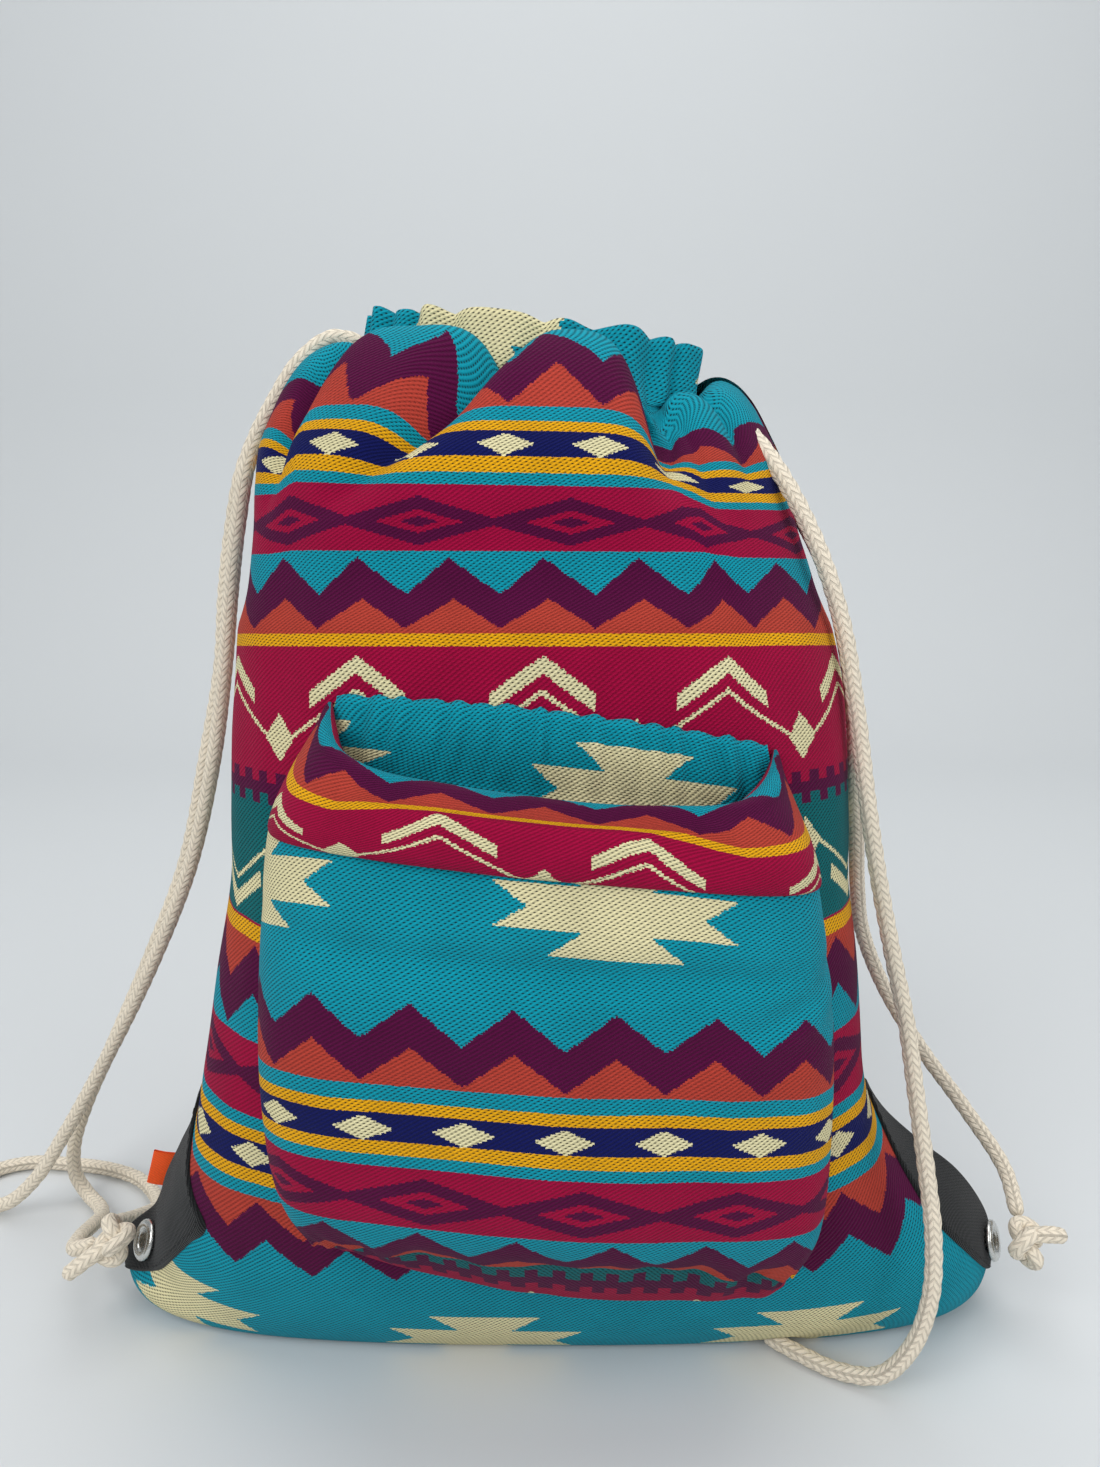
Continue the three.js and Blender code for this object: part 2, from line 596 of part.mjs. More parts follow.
// Free strands, from the mouth down to the knots, as points chosen by hand
const LEFT_FRONT_STRAND = [
  [-70, 25, 384], [-80, 26, 386], [-92, 26, 378], [-101, 26, 366], [-113, 27, 345], [-121, 32, 318],
  [-127, 37, 291], [-132, 40, 262], [-140, 42, 222], [-154, 44, 174], [-175, 45, 127],
  [-198, 46, 84], [-221, 46, 45], [-238, 46, 20], [-253, 47, 7], [-268, 51, 3.8], [-277, 63, 3.6],
  [-274, 76, 3.6], [-260, 83, 3.6], [-240, 82, 3.6], [-218, 78, 3.6], [-200, 70, 3.6],
  [-187, 56, 5], [-180, 40, 10], [-183, 24, 17], [-185, 8, 26],
];
const LEFT_BACK_STRAND = [
  [-71, 34, 384], [-82, 36, 386], [-95, 36, 377], [-105, 37, 364], [-119, 40, 341], [-128, 46, 313],
  [-133, 49, 288], [-137, 51, 260], [-146, 51, 221], [-159, 53, 173], [-179, 55, 127],
  [-200, 57, 84], [-216, 58, 52], [-225, 60, 28], [-226, 61, 12], [-220, 58, 4.4], [-210, 48, 4.6],
  [-203, 34, 10], [-200, 18, 17], [-198, 3, 23], [-194, -10, 28],
];
const RIGHT_FRONT_STRAND = [
  [55, 22, 361], [65, 17, 359], [75, 8, 349], [85, -2, 333], [96, -9, 310], [105, -12, 284],
  [111, -14, 255], [117, -16, 219], [122, -18, 192], [128, -22, 163], [133, -28, 138],
  [136, -36, 112], [139, -44, 86], [141, -50, 64], [140, -55, 42], [134, -57, 22], [124, -55, 8],
  [110, -50, 3.6], [98, -44, 3.6],
];
const RIGHT_BACK_STRAND = [
  [56, 33, 360], [68, 34, 358], [80, 28, 346], [94, 20, 324], [105, 13, 301], [112, 8, 275],
  [117, 8, 247], [121, 14, 219], [126, 25, 194], [131, 36, 168], [137, 44, 144], [148, 44, 118],
  [164, 38, 92], [182, 28, 68], [194, 12, 50],
];
const STRAND_STEPS = 44;

function knotGeometry(centre) {
  const geometry = new THREE.SphereGeometry(KNOT_RADIUS, 12, 8);
  geometry.deleteAttribute("normal");
  geometry.deleteAttribute("uv");
  geometry.scale(0.9, 1, 1.1);
  geometry.translate(centre.x, centre.y, centre.z);
  return facingOut(mergeVertices(geometry, 1e-4));
}

function tabGeometry() {
  const root = bagPoint(BACK, -0.9, 0.145, -LAY_GAP - PATCH_CLOTH - 5 * SEAM_GAP);
  const geometry = new THREE.BoxGeometry(TAB_LENGTH, TAB_THICKNESS, TAB_HEIGHT);
  geometry.rotateY(-0.15);
  geometry.translate(root.x - TAB_LENGTH / 2 - 1, root.y + 1, root.z);
  return geometry;
}

// Materials
const material = (color, roughness, metalness = 0) => (
  new THREE.MeshStandardMaterial({ color, roughness, metalness })
);
const cloth = material(0x109fb5, 0.95);
const cuffCloth = material(0xa50046, 0.95);
const canvas = material(0x0e1214, 0.9);
const steel = material(0xb8babd, 0.35, 1);
const cotton = material(0xe6dcc8, 0.9);
const orange = material(0xfa5a1e, 0.8);

const bag = new THREE.Group();

function add(name, geometry, look) {
  const mesh = new THREE.Mesh(geometry, look);
  mesh.name = name;
  bag.add(mesh);
  return mesh;
}

const seats = { left: eyeletSeat(-1), right: eyeletSeat(1) };
const holes = [eyeletHole(seats.left), eyeletHole(seats.right)];

const ownPieces = [
  add("front_panel", cutAway(panelGeometry(FRONT, FRONT_COLUMNS), holes), cloth),
  add("back_panel", cutAway(panelGeometry(BACK, BACK_COLUMNS), holes), cloth),
  add("pocket_front", pocketFrontGeometry(), cloth),
  add("pocket_cuff", pocketCuffGeometry(), cuffCloth),
  add("pocket_wall", pocketWallGeometry(), cloth),
  add("pocket_base", pocketBaseGeometry(), cuffCloth),
];
for (const [side, hand] of [["left", -1], ["right", 1]]) {
  const seat = seats[side];
  ownPieces.push(add(`corner_patch_${side}`, cutAway(patchGeometry(hand), holes), canvas));
  ownPieces.push(add(`eyelet_${side}`, eyeletGeometry(seat), steel));
  ownPieces.push(add(`eyelet_washer_${side}`, washerGeometry(seat), steel));
}
ownPieces.push(add("side_tab", tabGeometry(), orange));

const knotCentres = {};
for (const [side, hand, lane] of [["left", -1, HIGH_LANE], ["right", 1, LOW_LANE]]) {
  add(`casing_cord_${side}`, cordGeometry(casingRoute(hand, lane), 52), cotton);
  knotCentres[side] = seats[side].centre.clone()
    .addScaledVector(seats[side].facing, EYELET_FLANGE + SEAM_GAP + KNOT_RADIUS);
  add(`knot_${side}`, knotGeometry(knotCentres[side]), cotton);
}
// A strand runs on from the end of the cord in the hem, and stops short of its knot
function strandPoints(points, hand, lane, fromBack, knotSide) {
  const hem = casingRoute(hand, lane).map((p) => new THREE.Vector3(...p));
  if (fromBack) hem.reverse();
  const onward = hem[0].clone().sub(hem[1]).normalize();
  const straight = [2 * SEAM_GAP, CORD_DIAMETER / 2].map((d) => hem[0].clone().addScaledVector(onward, d));
  const route = [...straight.map((p) => p.toArray()), ...points];
  if (knotSide) {
    const last = new THREE.Vector3(...points[points.length - 1]);
    const away = last.sub(knotCentres[knotSide]).setLength(KNOT_RADIUS * 1.1 + SEAM_GAP);
    route.push(knotCentres[knotSide].clone().add(away).toArray());
  }
  return route;
}

const strands = [
  ["strand_left_front", LEFT_FRONT_STRAND, -1, HIGH_LANE, false, "left", STRAND_STEPS + 10],
  ["strand_left_back", LEFT_BACK_STRAND, -1, HIGH_LANE, true, "left", STRAND_STEPS],
  ["strand_right_front", RIGHT_FRONT_STRAND, 1, LOW_LANE, false, null, STRAND_STEPS],
  ["strand_right_back", RIGHT_BACK_STRAND, 1, LOW_LANE, true, "right", STRAND_STEPS],
];
for (const [name, points, hand, lane, fromBack, knotSide, steps] of strands) {
  add(name, cordGeometry(strandPoints(points, hand, lane, fromBack, knotSide), steps), cotton);
}

// The origin is under the middle of the bag, cords apart
const extent = new THREE.Box3();
for (const mesh of ownPieces) extent.expandByObject(mesh);
const middle = extent.getCenter(new THREE.Vector3());
bag.position.set(-middle.x, -middle.y, 0);

export default bag;
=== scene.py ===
# Drawstring backpack of striped jacquard cloth, stuffed full, dressed over its solid frame.
# Metres, +Z up, the pocket faces -Y.
import json
import math

import bmesh
import bpy
import numpy as np
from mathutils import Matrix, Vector, noise
from mathutils.bvhtree import BVHTree

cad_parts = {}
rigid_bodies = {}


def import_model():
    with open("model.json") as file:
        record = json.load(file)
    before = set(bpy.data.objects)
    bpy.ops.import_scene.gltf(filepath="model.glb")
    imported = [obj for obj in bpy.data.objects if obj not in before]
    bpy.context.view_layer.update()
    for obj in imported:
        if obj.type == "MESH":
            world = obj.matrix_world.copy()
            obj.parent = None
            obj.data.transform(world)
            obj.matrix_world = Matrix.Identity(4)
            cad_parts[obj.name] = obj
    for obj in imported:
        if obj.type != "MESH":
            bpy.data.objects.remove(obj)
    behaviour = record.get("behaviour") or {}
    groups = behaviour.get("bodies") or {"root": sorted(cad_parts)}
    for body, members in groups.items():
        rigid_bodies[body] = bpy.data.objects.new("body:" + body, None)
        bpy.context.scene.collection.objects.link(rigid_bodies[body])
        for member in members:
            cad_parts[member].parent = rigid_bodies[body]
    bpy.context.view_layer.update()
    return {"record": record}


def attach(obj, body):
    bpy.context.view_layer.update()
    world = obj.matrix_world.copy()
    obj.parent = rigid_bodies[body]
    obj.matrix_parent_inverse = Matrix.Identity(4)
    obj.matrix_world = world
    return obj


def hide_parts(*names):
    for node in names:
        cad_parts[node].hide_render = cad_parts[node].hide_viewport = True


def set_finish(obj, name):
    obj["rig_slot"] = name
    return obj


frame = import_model()
scene = bpy.context.scene

MM = 0.001
FRONT = -1
BACK = 1

# Where the maker's drawing has its origin, seen from the middle of the bag's base
DRAWING_ORIGIN = Vector((-4.437, 1.623, 0.0))


def in_frame(point):
    """Turns a point of the drawing, in millimetres, into metres in the shared frame."""
    return (Vector(point) + DRAWING_ORIGIN) * MM


# Camera, at the place where the photograph was taken
def make_camera():
    data = bpy.data.cameras.new("camera")
    data.sensor_fit = "VERTICAL"
    data.sensor_height = 36
    data.lens = 36 * 1059 / 1467
    camera = bpy.data.objects.new("camera", data)
    camera.location = in_frame((0.8, -388.7, 327.3))
    camera.rotation_euler = (math.radians(90 - 12.4), 0, 0)
    scene.collection.objects.link(camera)
    scene.camera = camera


make_camera()


# Meshes
def new_piece(name, points, faces, slot, uvs=None):
    """Makes an object from points and faces, smooth shaded, riding on the bag's one body."""
    mesh = bpy.data.meshes.new(name)
    mesh.from_pydata([tuple(p) for p in points], [], faces)
    if uvs is not None:
        layer = mesh.uv_layers.new(name="cut")
        corners = np.array([uvs[i] for face in faces for i in face], dtype=float)
        layer.data.foreach_set("uv", corners.ravel())
    mesh.update()
    mesh.shade_smooth()
    piece = bpy.data.objects.new(name, mesh)
    scene.collection.objects.link(piece)
    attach(piece, "root")
    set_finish(piece, slot)
    return piece


def grid_faces(rows, columns, wrap=False):
    """Quads of a grid of rows by columns points, closed round its columns if wrap is set."""
    faces = []
    across = columns if wrap else columns - 1
    for i in range(rows - 1):
        for j in range(across):
            k = (j + 1) % columns
            faces.append((i * columns + j, i * columns + k, (i + 1) * columns + k, (i + 1) * columns + j))
    return faces


# Cords, each along the route that its solids have
CORD_RADIUS = 3.25 * MM
PLAITS = 4
PLAIT_PITCH = 13 * MM
PLAIT_DEPTH = 0.42 * MM

LEFT_FRONT_ROUTE = [
    (-0.0676, 0.0228, 0.3795), (-0.0691, 0.0247, 0.3794), (-0.0744, 0.0266, 0.3840),
    (-0.0844, 0.0276, 0.3860), (-0.0964, 0.0276, 0.3780), (-0.1054, 0.0276, 0.3660),
    (-0.1174, 0.0286, 0.3450), (-0.1254, 0.0336, 0.3180), (-0.1314, 0.0386, 0.2910),
    (-0.1364, 0.0416, 0.2620), (-0.1444, 0.0436, 0.2220), (-0.1584, 0.0456, 0.1740),
    (-0.1794, 0.0466, 0.1270), (-0.2024, 0.0476, 0.0840), (-0.2254, 0.0476, 0.0450),
    (-0.2424, 0.0476, 0.0200), (-0.2574, 0.0486, 0.0070), (-0.2724, 0.0526, 0.0038),
    (-0.2814, 0.0646, 0.0036), (-0.2784, 0.0776, 0.0036), (-0.2644, 0.0846, 0.0036),
    (-0.2444, 0.0836, 0.0036), (-0.2224, 0.0796, 0.0036), (-0.2044, 0.0716, 0.0036),
    (-0.1914, 0.0576, 0.0050), (-0.1844, 0.0416, 0.0100), (-0.1874, 0.0256, 0.0170),
    (-0.1894, 0.0096, 0.0260), (-0.1817, -0.0081, 0.0345),
]
LEFT_BACK_ROUTE = [
    (-0.0676, 0.0383, 0.3799), (-0.0691, 0.0364, 0.3796), (-0.0754, 0.0356, 0.3840),
    (-0.0864, 0.0376, 0.3860), (-0.0994, 0.0376, 0.3770), (-0.1094, 0.0386, 0.3640),
    (-0.1234, 0.0416, 0.3410), (-0.1324, 0.0476, 0.3130), (-0.1374, 0.0506, 0.2880),
    (-0.1414, 0.0526, 0.2600), (-0.1504, 0.0526, 0.2210), (-0.1634, 0.0546, 0.1730),
    (-0.1834, 0.0566, 0.1270), (-0.2044, 0.0586, 0.0840), (-0.2204, 0.0596, 0.0520),
    (-0.2294, 0.0616, 0.0280), (-0.2304, 0.0626, 0.0120), (-0.2244, 0.0596, 0.0044),
    (-0.2144, 0.0496, 0.0046), (-0.2074, 0.0356, 0.0100), (-0.2044, 0.0196, 0.0170),
    (-0.2024, 0.0046, 0.0230), (-0.1984, -0.0084, 0.0280), (-0.1869, -0.0135, 0.0341),
]
RIGHT_FRONT_ROUTE = [
    (0.0422, 0.0211, 0.3591), (0.0436, 0.0231, 0.3587), (0.0506, 0.0236, 0.3610),
    (0.0606, 0.0186, 0.3590), (0.0706, 0.0096, 0.3490), (0.0806, -0.0004, 0.3330),
    (0.0916, -0.0074, 0.3100), (0.1006, -0.0104, 0.2840), (0.1066, -0.0124, 0.2550),
    (0.1126, -0.0144, 0.2190), (0.1176, -0.0164, 0.1920), (0.1236, -0.0204, 0.1630),
    (0.1286, -0.0264, 0.1380), (0.1316, -0.0344, 0.1120), (0.1346, -0.0424, 0.0860),
    (0.1366, -0.0484, 0.0640), (0.1356, -0.0528, 0.0420), (0.1296, -0.0542, 0.0220),
    (0.1196, -0.0519, 0.0080), (0.1056, -0.0450, 0.0036), (0.0936, -0.0370, 0.0036),
    (0.0816, -0.0270, 0.0036),
]
RIGHT_BACK_ROUTE = [
    (0.0422, 0.0381, 0.3598), (0.0436, 0.0362, 0.3593), (0.0516, 0.0346, 0.3600), (0.0636, 0.0356, 0.3580),
    (0.0756, 0.0296, 0.3460), (0.0896, 0.0216, 0.3240), (0.1006, 0.0146, 0.3010), (0.1076, 0.0096, 0.2750),
    (0.1126, 0.0096, 0.2470), (0.1166, 0.0156, 0.2190), (0.1216, 0.0266, 0.1940), (0.1266, 0.0376, 0.1680),
    (0.1326, 0.0456, 0.1440), (0.1436, 0.0456, 0.1180), (0.1596, 0.0396, 0.0920), (0.1776, 0.0296, 0.0680),
    (0.1896, 0.0136, 0.0500), (0.1879, -0.0061, 0.0415),
]
LEFT_HEM_ROUTE = [
    (-0.0671, 0.0221, 0.3796), (-0.0641, 0.0184, 0.3799), (-0.0599, 0.0150, 0.3800),
    (-0.0545, 0.0121, 0.3799), (-0.0479, 0.0097, 0.3796), (-0.0402, 0.0079, 0.3791),
    (-0.0316, 0.0066, 0.3785), (-0.0224, 0.0058, 0.3777), (-0.0129, 0.0055, 0.3768),
    (-0.0033, 0.0058, 0.3758), (0.0059, 0.0066, 0.3748), (0.0145, 0.0079, 0.3737),
    (0.0221, 0.0097, 0.3727), (0.0287, 0.0121, 0.3717), (0.0341, 0.0150, 0.3707),
    (0.0383, 0.0184, 0.3698), (0.0412, 0.0221, 0.3690), (0.0430, 0.0262, 0.3682),
    (0.0435, 0.0304, 0.3675), (0.0430, 0.0349, 0.3684), (0.0412, 0.0389, 0.3693),
    (0.0383, 0.0427, 0.3704), (0.0341, 0.0460, 0.3714), (0.0287, 0.0489, 0.3725),
    (0.0221, 0.0512, 0.3736), (0.0145, 0.0530, 0.3748), (0.0059, 0.0543, 0.3758),
    (-0.0033, 0.0551, 0.3769), (-0.0129, 0.0553, 0.3779), (-0.0224, 0.0551, 0.3788),
    (-0.0316, 0.0543, 0.3795), (-0.0402, 0.0530, 0.3801), (-0.0479, 0.0512, 0.3805),
    (-0.0545, 0.0489, 0.3807), (-0.0599, 0.0460, 0.3806), (-0.0641, 0.0427, 0.3804),
    (-0.0671, 0.0389, 0.3799),
]
RIGHT_HEM_ROUTE = [
    (0.0417, 0.0205, 0.3592), (0.0387, 0.0163, 0.3601), (0.0344, 0.0126, 0.3610),
    (0.0288, 0.0094, 0.3620), (0.0219, 0.0068, 0.3630), (0.0140, 0.0048, 0.3640),
    (0.0051, 0.0034, 0.3651), (-0.0045, 0.0026, 0.3661), (-0.0145, 0.0023, 0.3670),
    (-0.0244, 0.0026, 0.3679), (-0.0340, 0.0034, 0.3687), (-0.0429, 0.0048, 0.3693),
    (-0.0509, 0.0068, 0.3698), (-0.0578, 0.0094, 0.3701), (-0.0635, 0.0126, 0.3702),
    (-0.0678, 0.0163, 0.3700), (-0.0709, 0.0205, 0.3697), (-0.0728, 0.0249, 0.3693),
    (-0.0734, 0.0295, 0.3687), (-0.0728, 0.0344, 0.3697), (-0.0709, 0.0387, 0.3705),
    (-0.0678, 0.0427, 0.3712), (-0.0635, 0.0463, 0.3716), (-0.0578, 0.0494, 0.3718),
    (-0.0509, 0.0519, 0.3717), (-0.0429, 0.0539, 0.3714), (-0.0340, 0.0552, 0.3709),
    (-0.0244, 0.0561, 0.3702), (-0.0145, 0.0563, 0.3693), (-0.0045, 0.0561, 0.3683),
    (0.0051, 0.0552, 0.3673), (0.0140, 0.0539, 0.3661), (0.0219, 0.0519, 0.3649),
    (0.0288, 0.0494, 0.3637), (0.0344, 0.0463, 0.3625), (0.0387, 0.0427, 0.3612),
    (0.0417, 0.0387, 0.3600),
]


def smooth_route(points, spacing):
    """A centripetal spline through the points, resampled at even spacing."""
    p = [Vector(q) for q in points]
    p = [2 * p[0] - p[1]] + p + [2 * p[-1] - p[-2]]
    fine = []
    for a, b, c, d in zip(p, p[1:], p[2:], p[3:]):
        t1 = math.sqrt((b - a).length)
        t2 = t1 + math.sqrt((c - b).length)
        t3 = t2 + math.sqrt((d - c).length)
        for k in range(16):
            t = t1 + (t2 - t1) * k / 16
            e = a.lerp(b, t / t1)
            f = b.lerp(c, (t - t1) / (t2 - t1))
            g = c.lerp(d, (t - t2) / (t3 - t2))
            fine.append(e.lerp(f, t / t2).lerp(f.lerp(g, (t - t1) / (t3 - t1)), (t - t1) / (t2 - t1)))
    fine.append(p[-2])
    route = np.array([tuple(q) for q in fine])
    steps = np.linalg.norm(np.diff(route, axis=0), axis=1)
    reach = np.concatenate([[0], np.cumsum(steps)])
    count = max(4, int(round(reach[-1] / spacing)))
    even = np.linspace(0, reach[-1], count + 1)
    return np.column_stack([np.interp(even, reach, route[:, k]) for k in range(3)]), reach[-1]


def cord_frames(route):
    """Two level directions across the route at each of its points, without twist."""
    along = np.gradient(route, axis=0)
    along /= np.linalg.norm(along, axis=1)[:, None]
    side = np.cross(along[0], (0.3, 0.2, 1.0))
    sides = []
    for step in along:
        side = side - step * np.dot(side, step)
        side = side / np.linalg.norm(side)
        sides.append(side)
    sides = np.array(sides)
    return sides, np.cross(along, sides)


def braided_cord(name, points, sides=20, spacing=1.0 * MM, radius=CORD_RADIUS, blunt=(True, True)):
    """A round braided cord with its plaits standing out of it, closed at both ends."""
    route, length = smooth_route(points, spacing)
    side, up = cord_frames(route)
    reach = np.linspace(0, length, len(route))[:, None]
    angle = np.linspace(0, 2 * math.pi, sides, endpoint=False)[None, :]
    turn = 2 * math.pi * reach / PLAIT_PITCH
    left_plait = np.cos(PLAITS / 2 * angle * 2 + turn * 2)
    right_plait = np.cos(PLAITS / 2 * angle * 2 - turn * 2)
    over = np.maximum(left_plait, right_plait)
    ends = np.ones_like(reach)
    for end, rounded in ((0, blunt[0]), (length, blunt[1])):
        if rounded:
            near = np.clip(np.abs(reach - end) / radius, 0, 1)
            ends = ends * np.sqrt(np.clip(1 - (1 - near) ** 2, 0.02, 1))
    around = (radius - PLAIT_DEPTH * (1 - over) / 2) * ends
    points = route[:, None, :] + around[:, :, None] * (
        np.cos(angle)[:, :, None] * side[:, None, :] + np.sin(angle)[:, :, None] * up[:, None, :]
    )
    rows, columns = len(route), sides
    faces = grid_faces(rows, columns, wrap=True)
    faces.append(tuple(range(columns - 1, -1, -1)))
    faces.append(tuple((rows - 1) * columns + j for j in range(columns)))
    uvs = [(j / columns, float(reach[i, 0]) / (20 * MM)) for i in range(rows) for j in range(columns)]
    piece = new_piece(name, points.reshape(-1, 3), faces, "cotton_cord", uvs)
    return piece, route, length


def knot_route(centre, size, facing):
    """An overhand knot pulled tight, as one closed line."""
    facing = Vector(facing).normalized()
    across = facing.cross(Vector((0, 0, 1))).normalized()
    rise = across.cross(facing)
    line = []
    for k in range(40):
        t = 2 * math.pi * k / 40
        x = (math.sin(t) + 2 * math.sin(2 * t)) / 3
        y = (math.cos(t) - 2 * math.cos(2 * t)) / 3
        z = -math.sin(3 * t) / 3
        line.append(Vector(centre) + size * (x * across + y * rise + 1.2 * z * facing))
    return line


KNOTS = {
    "left": ((-0.1776, -0.0177, 0.0392), (-0.72, -0.55, 0.42)),
    "right": ((0.1870, -0.0166, 0.0370), (0.83, -0.48, 0.29)),
}


# The short cut ends that stand out of the two knots, from each knot's middle
CUT_ENDS = {
    "left": [(0, 0, 0), (-6, -4, -3), (-12.5, -5.5, -7.5), (-18.5, -5, -12.5)],
    "right": [(-4, 0, 2), (2, -2, 5), (8.5, -3, 6), (14.5, -2, 4.5)],
}


def make_cut_ends():
    made = {}
    for hand, steps in CUT_ENDS.items():
        line = [Vector(KNOTS[hand][0]) + Vector(step) * MM for step in steps]
        made[hand] = braided_cord(f"cut_end_{hand}", line, spacing=0.8 * MM)[0]
    return made


def make_cords():
    """The two drawcords: four free strands, their runs inside the hem, and the two knots."""
    for hand, (centre, facing) in KNOTS.items():
        line = knot_route(centre, 7.6 * MM, facing)
        knot = braided_cord(f"tied_knot_{hand}", line, spacing=0.9 * MM, radius=3.1 * MM)[0]
        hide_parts(f"knot_{hand}")
    strands = [
        ("left_front", LEFT_FRONT_ROUTE, "knot", "left"), ("left_back", LEFT_BACK_ROUTE, "knot", "left"),
        ("right_front", RIGHT_FRONT_ROUTE, "object", None), ("right_back", RIGHT_BACK_ROUTE, "knot", "right"),
    ]
    cut_ends = make_cut_ends()
    knotted = set()
    for label, points, far_end, hand in strands:
        piece, route, length = braided_cord(f"drawcord_{label}", points)
        side, run = label.split("_")
        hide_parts(f"strand_{side}_{run}")
        if hand and hand not in knotted:
            knotted.add(hand)
    for side, points in (("left", LEFT_HEM_ROUTE), ("right", RIGHT_HEM_ROUTE)):
        piece = braided_cord(f"hem_cord_{side}", points, sides=14, spacing=1.5 * MM)[0]
        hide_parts(f"casing_cord_{side}")


make_cords()


# The shape of the bag's walls, as in the solids: stations of [share up, value]
STAND_HEIGHT = 388
CORNER_SPAN = 358
WAIST_WIDTH = 232
MOUTH_WIDTH = 124
MOUTH_DEPTH = 60
FRONT_REACH = 68
BACK_REACH = 90
SEAM_SETBACK = 30
LEAN = 12
MOUTH_TILT = 7

FLARE = [
    (0, 0.88), (0.028, 0.97), (0.066, 1), (0.098, 0.87), (0.142, 0.72), (0.186, 0.53),
    (0.228, 0.35), (0.265, 0.24), (0.32, 0.155), (0.4, 0.09), (0.5, 0), (1, 0),
]
TAPER = [
    (0, 0), (0.5, 0), (0.636, 0.083), (0.748, 0.24), (0.835, 0.44), (0.892, 0.6),
    (0.925, 0.86), (0.96, 0.97), (1, 1),
]
SIDE_RISE = [
    (0, 0.008), (0.028, 0.034), (0.066, 0.075), (0.098, 0.106), (0.142, 0.147), (0.186, 0.18),
    (0.228, 0.214), (0.265, 0.25), (0.32, 0.309), (0.4, 0.396), (0.5, 0.504), (0.636, 0.652),
    (0.748, 0.773), (0.835, 0.858), (0.892, 0.898), (0.925, 0.918), (0.96, 0.952), (1, 0.988),
]
SIDEWAYS = [
    (0, 0.3), (0.066, 0.35), (0.098, 0.7), (0.142, 0.5), (0.2, 0), (0.265, -0.4), (0.4, -0.33),
    (0.636, -0.25), (0.748, -0.6), (0.835, -1), (0.9, -1.05), (1, -0.55),
]
SETBACK = [
    (0, 0), (0.15, 0), (0.265, 0.12), (0.4, 0.27), (0.6, 0.47), (0.8, 0.68), (0.9, 0.87), (1, 1),
]
FRONT_BELLY = [
    (0, 0), (0.05, 0.32), (0.08, 0.51), (0.12, 0.66), (0.2, 0.81), (0.3, 0.95), (0.4, 1),
    (0.52, 0.99), (0.64, 0.97), (0.7, 0.94), (0.767, 0.9), (0.904, 0.86), (1, 0.86),
]
FRONT_RISE = [
    (0, -0.013), (0.05, -0.013), (0.08, 0.012), (0.12, 0.057), (0.2, 0.144), (0.3, 0.268),
    (0.4, 0.387), (0.52, 0.534), (0.64, 0.673), (0.684, 0.727), (0.767, 0.802), (0.84, 0.861),
    (0.904, 0.915), (0.925, 0.932), (1, 1),
]
BACK_BELLY = [
    (0, 0), (0.05, 0.26), (0.1, 0.52), (0.15, 0.74), (0.2, 0.89), (0.27, 0.98), (0.36, 1),
    (0.46, 0.97), (0.56, 0.9), (0.66, 0.81), (0.76, 0.7), (0.84, 0.62), (1, 0.6),
]
BACK_RISE = [
    (0, -0.013), (0.05, -0.013), (0.1, -0.013), (0.15, 0.004), (0.2, 0.043), (0.27, 0.13),
    (0.36, 0.253), (0.46, 0.387), (0.56, 0.515), (0.66, 0.634), (0.76, 0.763), (0.84, 0.858),
    (0.9, 0.917), (0.925, 0.938), (1, 0.995),
]
NECK = [(0, 0), (0.7, 0), (0.8, 0.12), (0.9, 0.55), (0.95, 0.9), (1, 1)]
BOXINESS = [(0, 0.3), (0.2, 0.28), (0.5, 0.17), (0.8, 0.1), (1, 0.08)]

# Puffs of cloth below the gathered mouth: their line over the middle of the front, as (share up, y, z)
PUFF_LINE = [
    (0.7, -43, 284), (0.767, -40, 310.5), (0.81, -38.5, 324), (0.83, -37, 331), (0.85, -34, 342.5),
    (0.87, -28, 355), (0.885, -21, 368), (0.9, -13, 378), (0.91, -7, 381), (0.918, -3, 377.5),
    (0.925, 0, 367), (0.935, 0, 367.5),
]
PUFF_TOP = PUFF_LINE[-1][0]
PUFF_FADE = [(0.7, 0), (0.76, 1), (0.925, 1), (0.96, 0.1), (1, 0)]
# Valleys between the puffs: (share up, place across) stations, depth and width of each
FRONT_VALLEYS = [
    ([(0.79, -0.70), (0.835, -0.66), (0.87, -0.6), (0.925, -0.5), (1, -0.48)], 0.75, 0.05),
    ([(0.79, -0.46), (0.84, -0.3), (0.87, -0.17), (0.925, 0.02), (1, 0.03)], 1.0, 0.06),
    ([(0.72, 0.36), (0.79, 0.385), (0.84, 0.37), (0.925, 0.4), (1, 0.4)], 1.45, 0.065),
    ([(0.8, 0.62), (0.86, 0.66), (0.925, 0.7), (1, 0.7)], 0.35, 0.05),
]
BACK_VALLEYS = [
    ([(0.79, -0.62), (0.925, -0.52), (1, -0.5)], 0.8, 0.05),
    ([(0.74, -0.28), (0.84, -0.2), (0.925, -0.1), (1, -0.08)], 1.2, 0.06),
    ([(0.79, 0.3), (0.84, 0.24), (0.925, 0.12), (1, 0.12)], 0.7, 0.05),
    ([(0.76, 0.5), (0.925, 0.48), (1, 0.48)], 1.2, 0.06),
]
VALLEY_FADE = [(0, 0), (0.72, 0), (0.79, 0.25), (0.84, 0.75), (0.88, 1), (1, 1)]
# How much of the puffs' rise each place across has, from the left seam to the right one
FRONT_PUFFS = [
    (-1, 0.9), (-0.6, 0.95), (-0.45, 1.05), (0, 1.1), (0.38, 1.15), (0.47, 0.5), (0.75, 0.6), (1, 0.9),
]
BACK_PUFFS = [(-1, 1.15), (-0.5, 0.95), (0.4, 0.9), (0.7, 0.7), (1, 0.95)]
